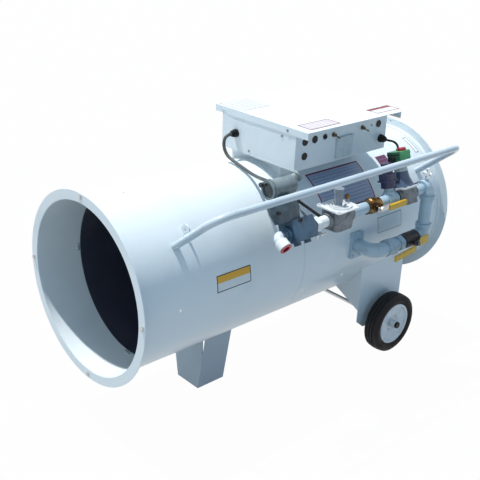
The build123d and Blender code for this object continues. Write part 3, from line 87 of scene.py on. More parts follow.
def group_sockets(group, result, kind, **numbers):
    """Gives a node group its number inputs and one result; returns its input and output nodes."""
    for name, value in numbers.items():
        socket = group.interface.new_socket(name, in_out="INPUT", socket_type="NodeSocketFloat")
        socket.default_value = value
    group.interface.new_socket(result, in_out="OUTPUT", socket_type=kind)
    return group.nodes.new("NodeGroupInput"), group.nodes.new("NodeGroupOutput")


def make_shop_dust():
    """Cloudy dust: noise squeezed between a low and a high value to a mask from 0 to 1."""
    group = bpy.data.node_groups.new("shop_dust", "ShaderNodeTree")
    given, result = group_sockets(group, "Mask", "NodeSocketFloat", Scale=6.0, Low=0.45, High=0.75)
    place = add_node(group, "ShaderNodeTexCoord")
    cloud = add_node(group, "ShaderNodeTexNoise")
    cloud.inputs["Detail"].default_value = 6.0
    cloud.inputs["Roughness"].default_value = 0.62
    squeeze = add_node(group, "ShaderNodeMapRange", interpolation_type="SMOOTHSTEP")
    link(group, place.outputs["Object"], cloud.inputs["Vector"])
    link(group, given.outputs["Scale"], cloud.inputs["Scale"])
    link(group, cloud.outputs["Fac"], squeeze.inputs["Value"])
    link(group, given.outputs["Low"], squeeze.inputs["From Min"])
    link(group, given.outputs["High"], squeeze.inputs["From Max"])
    link(group, squeeze.outputs["Result"], result.inputs["Mask"])
    return group


def make_surface_grain():
    """Fine relief: noise at a scale, turned to a normal by a bump of a height in metres."""
    group = bpy.data.node_groups.new("surface_grain", "ShaderNodeTree")
    given, result = group_sockets(group, "Normal", "NodeSocketVector", Scale=300.0, Height=0.0002)
    place = add_node(group, "ShaderNodeTexCoord")
    grit = add_node(group, "ShaderNodeTexNoise")
    grit.inputs["Detail"].default_value = 3.0
    relief = add_node(group, "ShaderNodeBump")
    relief.inputs["Strength"].default_value = 0.5
    link(group, place.outputs["Object"], grit.inputs["Vector"])
    link(group, given.outputs["Scale"], grit.inputs["Scale"])
    link(group, grit.outputs["Fac"], relief.inputs["Height"])
    link(group, given.outputs["Height"], relief.inputs["Distance"])
    link(group, relief.outputs["Normal"], result.inputs["Normal"])
    return group


shop_dust = make_shop_dust()
surface_grain = make_surface_grain()
dust_roughness = 0.18  # how much rougher a surface is under full dust


def dust_mask(tree, dust):
    """The dust group's mask at a (scale, low, high)."""
    mask = add_node(tree, "ShaderNodeGroup", node_tree=shop_dust)
    for socket, value in zip(("Scale", "Low", "High"), dust):
        mask.inputs[socket].default_value = value
    return mask.outputs["Mask"]


def finish(name, colour, soiled, rough, dust, metal=0.0, grain=(300.0, 0.0002), coat=0.0, shine=0.5):
    """
    A surface of one colour that dust or wear turns towards another, with its grain as relief.
    The dust is (scale, low, high) and the grain is (scale, height), as their groups take them.
    """
    material = bpy.data.materials.new(name)
    material.use_nodes = True
    tree = material.node_tree
    shader = tree.nodes["Principled BSDF"]
    shader.inputs["Metallic"].default_value = metal
    shader.inputs["Coat Weight"].default_value = coat
    shader.inputs["Specular IOR Level"].default_value = shine
    mask = dust_mask(tree, dust)
    link(tree, mixed(tree, mask, colour, soiled), shader.inputs["Base Color"])
    spread = add_node(tree, "ShaderNodeMapRange")
    spread.inputs["To Min"].default_value = rough
    spread.inputs["To Max"].default_value = min(1.0, rough + dust_roughness)
    link(tree, mask, spread.inputs["Value"])
    link(tree, spread.outputs["Result"], shader.inputs["Roughness"])
    relief = add_node(tree, "ShaderNodeGroup", node_tree=surface_grain)
    relief.inputs["Scale"].default_value = grain[0]
    relief.inputs["Height"].default_value = grain[1]
    link(tree, relief.outputs["Normal"], shader.inputs["Normal"])
    return material


def dress(material, *names):
    """Gives CAD nodes a material."""
    for name in names:
        cad[name].data.materials.clear()
        cad[name].data.materials.append(material)


along_x = (1.0, 0.0, 0.0)
along_z = (0.0, 0.0, 1.0)


def banded(material, way, span, tint, rough, metal=0.0):
    """Repaints a material where a piece's position along a way is within a span, in metres."""
    tree = material.node_tree
    shader = tree.nodes["Principled BSDF"]
    place = add_node(tree, "ShaderNodeTexCoord")
    reach = add_node(tree, "ShaderNodeVectorMath", operation="DOT_PRODUCT")
    reach.inputs[1].default_value = way
    link(tree, place.outputs["Object"], reach.inputs[0])
    above = maths(tree, "GREATER_THAN", reach.outputs["Value"], span[0])
    below = maths(tree, "LESS_THAN", reach.outputs["Value"], span[1])
    inside = maths(tree, "MULTIPLY", above, below)
    for name, value in (("Base Color", tint), ("Roughness", rough), ("Metallic", metal)):
        data_type = "RGBA" if name == "Base Color" else "FLOAT"
        socket = shader.inputs[name]
        under = socket.links[0].from_socket if socket.links else socket.default_value
        link(tree, mixed(tree, inside, under, value, data_type), socket)
    return material


powder_coat = finish(
    "powder_coat", srgb(218, 227, 231), srgb(204, 215, 220), 0.36,
    dust=(3.0, 0.5, 0.85), grain=(420.0, 0.0001), coat=0.15,
)
dress(powder_coat, "front_drum", "rear_drum", "outlet_ring", "inlet_ring")

# ---- Ring bolts ------------------------------------------------------------------------------
# Zinc hex-head bolts with washers, a quarter turn apart, in the holes of both end rings. Each ring
# is a flat flange with a collar that slips over the drum's end.
drum_length = 1.551
drum_r = 0.305
crease_angle = math.radians(35.0)


def turned(profile, sides):
    """A closed turned solid: (radius, height) points carried round the Z axis in equal steps."""
    outline = np.array(profile, float)
    turns = np.arange(sides) * 2 * np.pi / sides
    grid = np.stack(
        [
            np.outer(outline[:, 0], np.cos(turns)),
            np.outer(outline[:, 0], np.sin(turns)),
            np.repeat(outline[:, 1:], sides, axis=1),
        ],
        axis=-1,
    )
    first = np.arange(sides)
    after = (first + 1) % sides
    steps = np.arange(len(outline) - 1)[:, None] * sides
    edge, next_edge = steps + first, steps + after
    quads = np.stack([edge, next_edge, next_edge + sides, edge + sides], axis=-1)
    last = (len(outline) - 1) * sides
    caps = [list(first[::-1]), list(last + first)]
    return grid.reshape(-1, 3), [list(q) for q in quads.reshape(-1, 4)] + caps


def stood(verts, faces, spots, axes):
    """Copies of a solid, each moved to a spot with its Z axis turned along a given axis."""
    spots = np.atleast_2d(np.array(spots, float))
    z = np.broadcast_to(np.atleast_2d(np.array(axes, float)), spots.shape)
    z = z / np.linalg.norm(z, axis=1, keepdims=True)
    steep = 0.9  # an axis whose Z is past this takes its sides from X instead
    helper = np.where(np.abs(z[:, 2:]) < steep, along_z, along_x)
    x = np.cross(helper, z)
    x = x / np.linalg.norm(x, axis=1, keepdims=True)
    y = np.cross(z, x)
    frames = np.stack([x, y, z], axis=1)
    placed = np.einsum("vi,nij->nvj", verts, frames) + spots[:, None, :]
    every = [[int(i) + n * len(verts) for i in face] for n in range(len(spots)) for face in faces]
    return placed.reshape(-1, 3), every


def joined(*solids):
    """Several (verts, faces) pairs as one."""
    verts, faces, count = [], [], 0
    for part_verts, part_faces in solids:
        verts.append(part_verts)
        faces += [[i + count for i in face] for face in part_faces]
        count += len(part_verts)
    return np.concatenate(verts), faces


def add_piece(name, solid, material):
    """Puts (verts, faces) in the scene: a smooth piece with creased edges, attached to the heater."""
    mesh = bpy.data.meshes.new(name)
    mesh.from_pydata([tuple(v) for v in solid[0]], [], solid[1])
    mesh.materials.append(material)
    mesh.shade_smooth()
    mesh.set_sharp_from_angle(angle=crease_angle)
    piece = bpy.data.objects.new(name, mesh)
    bpy.context.scene.collection.objects.link(piece)
    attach(piece, "heater")
    return piece


zinc = finish(
    "zinc", srgb(206, 210, 212), srgb(158, 158, 156), 0.28, metal=1.0, dust=(120.0, 0.5, 0.85)
)
hex_head = [(0.0, 0.0), (0.0075, 0.0), (0.0075, 0.0042), (0.0066, 0.0052), (0.0, 0.0052)]
washer_t = 0.0012
washer = [(0.0, 0.0), (0.0098, 0.0), (0.0098, washer_t), (0.0, washer_t)]
ring_hole_r = 0.325
quarter = np.radians([0, 90, 180, 270])
quarter_out = np.stack([np.zeros(4), np.cos(quarter), np.sin(quarter)], axis=1)
bolt_circle = ring_hole_r * quarter_out
ring_bolts = joined(
    stood(*turned(washer, 20), bolt_circle, (-1, 0, 0)),
    stood(*turned(hex_head, 6), bolt_circle - (washer_t, 0, 0), (-1, 0, 0)),
    stood(*turned(washer, 20), bolt_circle + (drum_length, 0, 0), (1, 0, 0)),
    stood(*turned(hex_head, 6), bolt_circle + (drum_length + washer_t, 0, 0), (1, 0, 0)),
)
add_piece("ring_bolts", ring_bolts, zinc)

# ---- Drum screws -----------------------------------------------------------------------------
# Small zinc pan-head screws, driven through the sheets: two low on the near side, and a ring of
# four, seen from inside and outside the drum, that hold the liner's tabs.
pan_head = [
    (0.0, 0.0), (0.0052, 0.0), (0.0050, 0.0014), (0.0036, 0.0026), (0.0014, 0.0031), (0.0, 0.0031)
]
low_turn = np.radians([-24.7, -25.3])
low_out = np.stack([np.zeros(2), -np.cos(low_turn), np.sin(low_turn)], axis=1)
low_at = np.array([[0.753, 0, 0], [0.979, 0, 0]]) + drum_r * low_out
tab_at = np.array([0.161, 0, 0])
tab_r = 0.2975  # the liner's inner face
drum_screws = joined(
    stood(*turned(pan_head, 16), low_at, low_out),
    stood(*turned(pan_head, 16), tab_at + tab_r * quarter_out, -quarter_out),
    stood(*turned(pan_head, 16), tab_at + drum_r * quarter_out, quarter_out),
)
add_piece("drum_screws", drum_screws, zinc)

# ---- Heat liner ------------------------------------------------------------------------------
# A rolled sleeve of bare sheet inside the drum, blued and sooted by the flame and still pale at its
# lip, with the burner head and its baffle in the same scaled steel.
scaled_steel = finish(
    "scaled_steel", srgb(62, 66, 84), srgb(86, 84, 92), 0.55,
    metal=0.4, dust=(5.0, 0.42, 0.8), grain=(160.0, 0.0004),
)
liner_steel = finish(
    "liner_steel", srgb(58, 62, 80), srgb(84, 82, 90), 0.55,
    metal=0.4, dust=(5.0, 0.42, 0.8), grain=(160.0, 0.0004),
)
pale_lip_x = (0.0, 0.1722)
dress(banded(liner_steel, along_x, pale_lip_x, srgb(168, 184, 188), 0.4), "heat_liner")
dress(scaled_steel, "burner_head", "air_baffle")

# ---- Legs ------------------------------------------------------------------------------------
# The folded front channel, whose darker coat is painted shade from the drum above, and two plates
# in the drum's own coat under its rear. All three are bent from sheet and meet the drum's underside.
# Painted shade: darker than the drum's coat, for the shade that falls on the leg under the drum.
shaded_leg_coat = finish(
    "shaded_leg_coat", srgb(176, 192, 203), srgb(160, 176, 187), 0.4,
    dust=(5.0, 0.45, 0.8), grain=(420.0, 0.0001), coat=0.1,
)
dress(shaded_leg_coat, "front_leg")
dress(powder_coat, "rear_leg_near", "rear_leg_far")

# ---- Axle and wheels -------------------------------------------------------------------------
# A bright round bar with black collars at its ends carries two pressed rims in white enamel, with
# moulded rubber tyres whose treads are grey with dust.
bright_steel = finish(
    "bright_steel", srgb(186, 190, 194), srgb(142, 140, 134), 0.3,
    metal=1.0, dust=(40.0, 0.5, 0.8), grain=(900.0, 0.00005),
)
rim_enamel = finish(
    "rim_enamel", srgb(226, 231, 233), srgb(190, 192, 190), 0.3, dust=(14.0, 0.5, 0.8), coat=0.2
)
dress(bright_steel, "axle")
black_nylon = finish(
    "black_nylon", srgb(16, 17, 21), srgb(40, 40, 42), 0.48, dust=(60.0, 0.45, 0.8), shine=0.3
)
dress(black_nylon, "axle_collars")
dress(rim_enamel, "rim_near", "rim_far")
axle_at = (1.258, -0.414)  # X and Z
tread_low, tread_high = 0.1195, 0.1245  # from the axle, between the side wall and the tread


def tyre_rubber():
    """Black rubber whose tread, the part furthest from the axle, is grey with dust."""
    material = finish(
        "tyre_rubber", srgb(12, 11, 13), srgb(22, 21, 23), 0.62,
        dust=(30.0, 0.4, 0.7), grain=(700.0, 0.0002), shine=0.25,
    )
    tree = material.node_tree
    socket = tree.nodes["Principled BSDF"].inputs["Base Color"]
    place = add_node(tree, "ShaderNodeTexCoord")
    centre = add_node(tree, "ShaderNodeMapping")
    centre.inputs["Location"].default_value = (-axle_at[0], 0.0, -axle_at[1])
    flatten = add_node(tree, "ShaderNodeVectorMath", operation="MULTIPLY")
    flatten.inputs[1].default_value = (1.0, 0.0, 1.0)
    reach = add_node(tree, "ShaderNodeVectorMath", operation="LENGTH")
    tread = add_node(tree, "ShaderNodeMapRange", interpolation_type="SMOOTHSTEP")
    tread.inputs["From Min"].default_value = tread_low
    tread.inputs["From Max"].default_value = tread_high
    tread.inputs["To Max"].default_value = 0.5
    link(tree, place.outputs["Object"], centre.inputs["Vector"])
    link(tree, centre.outputs["Vector"], flatten.inputs[0])
    link(tree, flatten.outputs["Vector"], reach.inputs[0])
    link(tree, reach.outputs["Value"], tread.inputs["Value"])
    under = socket.links[0].from_socket
    link(tree, mixed(tree, tread.outputs["Result"], under, srgb(48, 49, 51)), socket)
    return material


dress(tyre_rubber(), "tyre_near", "tyre_far")

# ---- Control box -----------------------------------------------------------------------------
# A folded box on a pedestal under an overhanging lid, all in the drum's coat. Black snap-in plugs
# close the spare knockouts, and black nylon glands grip the two cords.
dress(powder_coat, "control_box", "box_lid", "box_saddle")
zinc_gland = finish(
    "zinc_gland", srgb(150, 156, 160), srgb(104, 106, 108), 0.38,
    metal=1.0, dust=(80.0, 0.4, 0.8), grain=(500.0, 0.0002),
)
dress(black_nylon, "knockout_plugs", "control_electrics", "reset_button")
dress(black_nylon, "cable_gland", "conduit_gland")
end_spots = [(0.7054, -0.200, 0.471), (0.707, -0.173, 0.445), (0.707, -0.010, 0.348)]
front_spot = (1.110, -0.241, 0.434)
panel_screws = joined(
    stood(*turned(pan_head, 16), end_spots, (-1, 0, 0)),
    stood(*turned(pan_head, 16), front_spot, (0, -1, 0)),
)
add_piece("panel_screws", panel_screws, zinc_gland)


# ---- Panel switches and service socket -------------------------------------------------------
# Two worn nickel toggles in threaded bodies with hexagonal nuts, and a black push button beside
# them. The service socket is a pale die-cast box with a hinged cover.
def worn_nickel(name):
    """Nickel plate that is rubbed to a brassy brown."""
    return finish(name, srgb(150, 136, 112), srgb(70, 62, 54), 0.3, metal=1.0, dust=(90.0, 0.35, 0.7))


push_button_x = (0.8, 0.875)
bezel_nickel = banded(worn_nickel("bezel_nickel"), along_x, push_button_x, srgb(24, 25, 28), 0.4)
dress(bezel_nickel, "switch_bodies")
dress(worn_nickel("nickel"), "fan_toggle", "heat_toggle")
cast_plate = finish("cast_plate", srgb(196, 208, 213), srgb(172, 184, 190), 0.42, dust=(40.0, 0.4, 0.8))
dress(cast_plate, "socket_body", "socket_cover")

# ---- Handle rail -----------------------------------------------------------------------------
# One bent tube in a glossier grey-blue coat, rubbed a little where it is gripped. A foot at each
# end stands square on the drum.
rail_coat = finish(
    "rail_coat", srgb(184, 199, 208), srgb(164, 180, 190), 0.22, dust=(9.0, 0.5, 0.8), coat=0.5
)
dress(rail_coat, "handle_rail")


# ---- Gas train -------------------------------------------------------------------------------
# Pale pipework, a slate-blue valve and actuator with a grey drive head, sand-cast regulator and
# solenoid bodies, a brass and a black ball valve, a green coil, red caps and yellow lever sleeves.
def pipe_coat(name):
    """The pale blue paint of the pipework."""
    return finish(
        name, srgb(164, 188, 202), srgb(134, 156, 170), 0.34,
        dust=(24.0, 0.45, 0.85), grain=(260.0, 0.0003), coat=0.2,
    )


def slate_paint(name, colour, soiled):
    """The enamel of a valve, an actuator or an elbow, in its own slate colour."""
    return finish(name, colour, soiled, 0.36, dust=(26.0, 0.38, 0.75), grain=(240.0, 0.0005), coat=0.15)


valve_paint = slate_paint("valve_paint", srgb(54, 90, 114), srgb(36, 60, 82))
housing_paint = slate_paint("housing_paint", srgb(62, 82, 95), srgb(38, 52, 64))
elbow_paint = slate_paint("elbow_paint", srgb(74, 100, 118), srgb(46, 64, 80))
head_paint = finish(
    "head_paint", srgb(118, 132, 136), srgb(76, 88, 94), 0.36,
    dust=(26.0, 0.42, 0.8), grain=(260.0, 0.0004), coat=0.15,
)
switch_paint = finish(
    "switch_paint", srgb(46, 50, 82), srgb(28, 32, 56), 0.4,
    dust=(30.0, 0.4, 0.8), grain=(260.0, 0.0003),
)
sand_casting = finish(
    "sand_casting", srgb(126, 132, 138), srgb(84, 88, 94), 0.5,
    metal=0.35, dust=(34.0, 0.35, 0.75), grain=(340.0, 0.0007),
)
bright_casting = finish(
    "bright_casting", srgb(232, 235, 237), srgb(186, 190, 193), 0.3,
    metal=0.3, dust=(34.0, 0.45, 0.85), grain=(340.0, 0.0003),
)
black_iron = finish(
    "black_iron", srgb(28, 31, 38), srgb(52, 57, 64), 0.5,
    metal=0.3, dust=(30.0, 0.4, 0.8), grain=(260.0, 0.0004),
)
brass = finish("brass", srgb(142, 110, 66), srgb(54, 42, 30), 0.3, metal=1.0, dust=(34.0, 0.3, 0.62))
red_plastic = finish(
    "red_plastic", srgb(158, 14, 38), srgb(104, 12, 30), 0.4, dust=(60.0, 0.5, 0.8), coat=0.1
)
green_epoxy = finish(
    "green_epoxy", srgb(62, 160, 98), srgb(36, 104, 70), 0.4, dust=(40.0, 0.45, 0.8), coat=0.1
)
white_coupling = finish(
    "white_coupling", srgb(228, 232, 232), srgb(190, 194, 194), 0.4, dust=(60.0, 0.5, 0.85)
)
dress(pipe_coat("pipe_paint"), "pipe_union", "sweep_elbow")
white_nipple_x = (0.5, 0.8)
nipple_paint = banded(pipe_coat("nipple_paint"), along_x, white_nipple_x, srgb(230, 234, 232), 0.3)
dress(nipple_paint, "pipe_nipples")
plated_cock_z = (0.2350, 0.3)
elbow_coat = banded(pipe_coat("elbow_coat"), along_z, plated_cock_z, srgb(222, 228, 230), 0.25, 0.5)
dress(elbow_coat, "pipe_elbows")
dress(valve_paint, "actuated_valve")
dress(housing_paint, "actuator_housing")
pale_collar_x, black_rim_x = (0.3, 0.494), (0.4, 0.5022)
dress(banded(elbow_paint, along_x, pale_collar_x, srgb(196, 208, 214), 0.36), "inlet_elbow")
dress(banded(head_paint, along_x, black_rim_x, srgb(26, 28, 32), 0.45), "actuator_head")
dress(switch_paint, "pressure_switch")
dress(sand_casting, "regulator_body")
solenoid_casting = finish(
    "solenoid_casting", srgb(120, 126, 132), srgb(78, 82, 88), 0.5,
    metal=0.35, dust=(34.0, 0.35, 0.75), grain=(340.0, 0.0006),
)
along_stem = (0.0, 0.3090, 0.9511)  # the solenoid's stem leans 18 degrees from upright
flange_face, blue_bonnet, pale_stem = (0.0922, 0.0990), (0.0990, 0.1560), (0.1560, 0.1800)
banded(solenoid_casting, along_stem, flange_face, srgb(214, 220, 224), 0.3, 0.3)
banded(solenoid_casting, along_stem, blue_bonnet, srgb(74, 92, 118), 0.36)
banded(solenoid_casting, along_stem, pale_stem, srgb(188, 200, 200), 0.4)
dress(solenoid_casting, "solenoid_valve")
grey_top_z = (0.2495, 0.32)
dress(banded(bright_casting, along_z, grey_top_z, srgb(126, 136, 147), 0.45), "regulator_cover")
dress(black_iron, "black_valve")
dress(brass, "brass_valve", "vent_plug")
dress(red_plastic, "thread_cap", "coil_cap")
# Painted shade: the darker green band on the coil's left face stands in for the shade on that side.
coil_shaded_face_x, black_end_x = (1.1125, 1.1155), (1.0, 1.1125)
banded(green_epoxy, along_x, coil_shaded_face_x, srgb(38, 104, 70), 0.5)
dress(banded(green_epoxy, along_x, black_end_x, srgb(20, 22, 26), 0.5), "solenoid_coil")
dress(white_coupling, "inlet_coupling")
dress(bright_steel, "drain_cock", "drain_handle")


def darker(colour, share):
    """A colour with its red, green and blue multiplied by a share."""
    return tuple(share * c for c in colour[:3]) + (1.0,)


def sleeved_lever(name, bare, metal, bare_x):
    """Bare steel within a span of X, and a yellow dipped sleeve wherever X is below or above it."""
    material = finish(name, bare, darker(bare, 0.6), 0.34, metal=metal, dust=(60.0, 0.4, 0.8))
    tree = material.node_tree
    shader = tree.nodes["Principled BSDF"]
    place = add_node(tree, "ShaderNodeTexCoord")
    split = add_node(tree, "ShaderNodeSeparateXYZ")
    link(tree, place.outputs["Object"], split.inputs["Vector"])
    below = maths(tree, "LESS_THAN", split.outputs["X"], bare_x[0])
    above = maths(tree, "GREATER_THAN", split.outputs["X"], bare_x[1])
    sleeved = maths(tree, "MAXIMUM", below, above)
    dip = mixed(tree, dust_mask(tree, (70.0, 0.48, 0.75)), srgb(210, 164, 24), srgb(164, 136, 44))
    socket = shader.inputs["Base Color"]
    link(tree, mixed(tree, sleeved, socket.links[0].from_socket, dip), socket)
    link(tree, maths(tree, "MULTIPLY_ADD", sleeved, -metal, metal), shader.inputs["Metallic"])
    return material


brass_lever_bare_x, black_lever_bare_x = (-9.0, 0.999), (1.1690, 1.2190)
dress(sleeved_lever("brass_valve_lever", srgb(196, 198, 196), 0.8, brass_lever_bare_x), "brass_lever")
dress(sleeved_lever("black_valve_lever", srgb(74, 78, 84), 0.5, black_lever_bare_x), "black_lever")


# ---- Valve screws and pilot line -------------------------------------------------------------
# A dark pane in the drive head's hollow end, socket screws on the actuator and its valve, a silver
# strap, and the black pilot line that runs from the actuator to the regulator's inlet nipple.
def rod(start, end, radius, sides=16):
    """A round bar between two points."""
    start, end = np.array(start, float), np.array(end, float)
    length = float(np.linalg.norm(end - start))
    bar = turned([(0.0, 0.0), (radius, 0.0), (radius, length), (0.0, length)], sides)
    return stood(*bar, start, end - start)


pane = turned([(0.0, 0.0), (0.0252, 0.0), (0.0252, 0.0030), (0.0, 0.0034)], 40)
pane_tint = finish("pane_tint", srgb(44, 50, 52), srgb(64, 68, 68), 0.2, dust=(50.0, 0.45, 0.8))
pane_at = (0.5105, -0.323, 0.33337)
add_piece("head_window", stood(*pane, pane_at, (-1, 0, 0)), pane_tint)
socket_screw = [
    (0.0, 0.0), (0.0080, 0.0), (0.0080, 0.0036), (0.0071, 0.0046),
    (0.0042, 0.0046), (0.0040, 0.0020), (0.0, 0.0020),
]
screw_spots = [(0.4968, -0.384, 0.276), (0.5623, -0.4199, 0.2476)]
screw_ways = [(-0.892, -0.390, 0.225), (0.0, -0.8660, 0.5)]
joint_screws = stood(*turned(socket_screw, 18), screw_spots, screw_ways)
add_piece("joint_screws", joint_screws, black_iron)
strap_start, strap_end = np.array([0.586, -0.385, 0.2774]), np.array([0.640, -0.388, 0.214])
strap_side = np.array([0.0, 0.0080, 0.0])
strap_lift = np.array([0.0012, 0.0, 0.0010])  # its thickness, square to its run
strap_face = [strap_start - strap_side, strap_start + strap_side]
strap_face += [strap_end + strap_side, strap_end - strap_side]
strap_corners = np.array(strap_face + [corner + strap_lift for corner in strap_face])
slab = [[3, 2, 1, 0], [4, 5, 6, 7], [0, 1, 5, 4], [1, 2, 6, 5], [2, 3, 7, 6], [3, 0, 4, 7]]
add_piece("valve_strap", (strap_corners, slab), zinc)
line_start, line_end = np.array([0.588, -0.385, 0.296]), np.array([0.690, -0.385, 0.222])
line_way = (line_end - line_start) / np.linalg.norm(line_end - line_start)
line_r, nut_grip = 0.0052, 0.004
start_nut_r, start_nut_out = 0.0062, 0.012
end_nut_r, end_nut_out = 0.0064, 0.008
add_piece("pilot_line", rod(line_start, line_end, line_r), black_nylon)
pilot_fittings = joined(
    rod(line_start - line_way * start_nut_out, line_start + line_way * nut_grip, start_nut_r, 6),
    rod(line_end - line_way * nut_grip, line_end + line_way * end_nut_out, end_nut_r, 6),
)
add_piece("pilot_fittings", pilot_fittings, black_iron)

# ---- Plates and labels -----------------------------------------------------------------------
# Printed plates with no lettering: a ruled plate with a maroon edge under the handle, four small
# labels on the drum and three on the lid. Each is a thin sheet stuck to its surface.
label_t = 0.0004
drum_face = 0.3052  # just off the drum's sheet
lid_face = 0.4841  # just off the lid's top
rule_gap = 0.62  # the blank share of each ruled row
rule_margin = 0.09  # blank border round the rules, as a share of the label's height


def stuck(low, high, surface, thick, across=2, along=2):
    """A thin closed sheet: a grid in (u, v) from low to high is mapped on to a surface and lifted."""
    u, v = np.meshgrid(np.linspace(low[0], high[0], across), np.linspace(low[1], high[1], along))
    under = surface(u, v, 0.0).reshape(-1, 3)
    top = surface(u, v, thick).reshape(-1, 3)
    index = np.arange(across * along).reshape(along, across)
    count = across * along
    corners = index[:-1, :-1], index[:-1, 1:], index[1:, 1:], index[1:, :-1]
    quads = np.stack(corners, axis=-1).reshape(-1, 4)
    rim = np.concatenate([index[0, :], index[1:, -1], index[-1, -2::-1], index[-2:0:-1, 0]])
    walls = np.stack([rim, np.roll(rim, -1), np.roll(rim, -1) + count, rim + count], axis=-1)
    faces = np.concatenate([quads[:, ::-1], quads + count, walls])
    share = np.stack([(u - low[0]) / (high[0] - low[0]), (v - low[1]) / (high[1] - low[1])], axis=-1)
    return np.concatenate([under, top]), faces, np.concatenate([share.reshape(-1, 2)] * 2)


def on_drum(x, angle, lift):
    """A point on the drum's near side: angle in degrees above the horizontal."""
    turn = np.radians(angle)
    reach = drum_face + lift
    return np.stack([x, -reach * np.cos(turn), reach * np.sin(turn)], axis=-1)


def on_lid(x, y, lift):
    """A point on the lid's top."""
    return np.stack([x, y, np.full_like(x, lid_face) + lift], axis=-1)


def label_print(name, ground, edge, size, band=0.0, band_colour=None, rules=0, rule_colour=None):
    """
    A printed sheet of a (width, height): ground colour, an edge line as (colour, inset, thickness),
    a band over a share of its height at the top, and ruled lines.
    """
    material = finish(name, ground, darker(ground, 0.94), 0.36, dust=(30.0, 0.4, 0.8))
    tree = material.node_tree
    socket = tree.nodes["Principled BSDF"].inputs["Base Color"]
    colour = socket.links[0].from_socket
    sheet_uv = add_node(tree, "ShaderNodeUVMap", uv_map="print")
    split = add_node(tree, "ShaderNodeSeparateXYZ")
    link(tree, sheet_uv.outputs["UV"], split.inputs["Vector"])
    u, v = split.outputs["X"], split.outputs["Y"]
    margins = []
    for share, length in zip((u, v), size):
        near = maths(tree, "MULTIPLY", share, length)
        far = maths(tree, "MULTIPLY", maths(tree, "SUBTRACT", 1.0, share), length)
        margins.append(maths(tree, "MINIMUM", near, far))
    margin = maths(tree, "MINIMUM", *margins)
    if rules:
        row = maths(tree, "FRACT", maths(tree, "MULTIPLY", v, rules))
        inside = maths(tree, "GREATER_THAN", margin, rule_margin * size[1])
        ruled = maths(tree, "MULTIPLY", maths(tree, "GREATER_THAN", row, rule_gap), inside)
        colour = mixed(tree, ruled, colour, rule_colour)
    if band:
        colour = mixed(tree, maths(tree, "GREATER_THAN", v, 1.0 - band), colour, band_colour)
    edge_colour, inset, thickness = edge
    past = maths(tree, "GREATER_THAN", margin, inset)
    short = maths(tree, "LESS_THAN", margin, inset + thickness)
    colour = mixed(tree, maths(tree, "MULTIPLY", past, short), colour, edge_colour)
    link(tree, colour, socket)
    return material


def add_label(name, sheet, material):
    """Puts a printed sheet in the scene with its print coordinates."""
    piece = add_piece(name, (sheet[0], [list(map(int, f)) for f in sheet[1]]), material)
    layer = piece.data.uv_layers.new(name="print")
    corners = np.empty(len(piece.data.loops), int)
    piece.data.loops.foreach_get("vertex_index", corners)
    layer.data.foreach_set("uv", sheet[2][corners].ravel())


data_print = label_print(
    "data_print", srgb(150, 164, 188), (srgb(112, 28, 56), 0.0, 0.006), (0.287, 0.150),
    rules=13, rule_colour=srgb(126, 140, 170),
)
add_label("data_plate", stuck((0.861, 28.0), (1.148, 60.0), on_drum, label_t, 4, 24), data_print)
service_print = label_print(
    "service_print", srgb(212, 222, 226), (srgb(46, 62, 84), 0.002, 0.0022), (0.150, 0.068)
)
add_label("service_label", stuck((1.135, 1.5), (1.285, 14.2), on_drum, label_t, 4, 12), service_print)
outlet_print = label_print(
    "outlet_print", srgb(214, 220, 222), (srgb(40, 40, 44), 0.0, 0.0036), (0.150, 0.0596),
    band=0.46, band_colour=srgb(220, 164, 40),
)
add_label("outlet_label", stuck((0.315, 2.0), (0.465, 13.2), on_drum, label_t, 4, 12), outlet_print)
lid_front_print = label_print(
    "lid_front_print", srgb(204, 203, 206), (srgb(84, 16, 32), 0.0, 0.0050), (0.153, 0.068),
    rules=5, rule_colour=srgb(178, 158, 168),
)
add_label("lid_front_label", stuck((0.743, -0.275), (0.896, -0.207), on_lid, label_t), lid_front_print)
lid_rear_print = label_print(
    "lid_rear_print", srgb(202, 202, 204), (srgb(108, 36, 52), 0.0, 0.0040), (0.128, 0.060),
    band=0.34, band_colour=srgb(110, 18, 36),
)
add_label("lid_rear_label", stuck((1.108, -0.266), (1.236, -0.206), on_lid, label_t), lid_rear_print)
lid_sheet_print = label_print(
    "lid_sheet_print", srgb(208, 211, 214), (srgb(112, 110, 118), 0.0, 0.0030), (0.135, 0.134),
    rules=7, rule_colour=srgb(172, 174, 180),
)
add_label("lid_sheet_label", stuck((0.716, 0.038), (0.851, 0.172), on_lid, label_t), lid_sheet_print)
rear_print = label_print(
    "rear_print", srgb(232, 234, 236), (srgb(40, 44, 56), 0.002, 0.0030), (0.026, 0.090)
)
add_label("rear_strip_label", stuck((1.490, 52.0), (1.516, 69.5), on_drum, label_t, 3, 14), rear_print)
hazard_print = label_print(
    "hazard_print", srgb(74, 34, 70), (srgb(120, 44, 74), 0.0, 0.0040), (0.060, 0.080),
    rules=5, rule_colour=srgb(104, 66, 104),
)
add_label("rear_side_label", stuck((1.255, 44.0), (1.315, 58.5), on_drum, label_t, 3, 12), hazard_print)

# ---- Fan, motor and guard --------------------------------------------------------------------
# A cast five-bladed fan on the shaft of a painted motor, its mount and the wire guard in the drum's
# coat, and the spark igniter's glazed ceramic by the burner.
fan_casting = finish(
    "fan_casting", srgb(178, 182, 185), srgb(120, 122, 124), 0.4, metal=0.8, dust=(12.0, 0.4, 0.8)
)
motor_paint = finish("motor_paint", srgb(58, 64, 72), srgb(84, 86, 88), 0.45, dust=(16.0, 0.45, 0.8))
glazed_ceramic = finish(
    "glazed_ceramic", srgb(226, 222, 208), srgb(170, 160, 140), 0.25, dust=(80.0, 0.5, 0.8)
)
dress(fan_casting, "fan")
dress(motor_paint, "fan_motor")
dress(powder_coat, "motor_mount", "inlet_guard")
dress(glazed_ceramic, "spark_igniter")

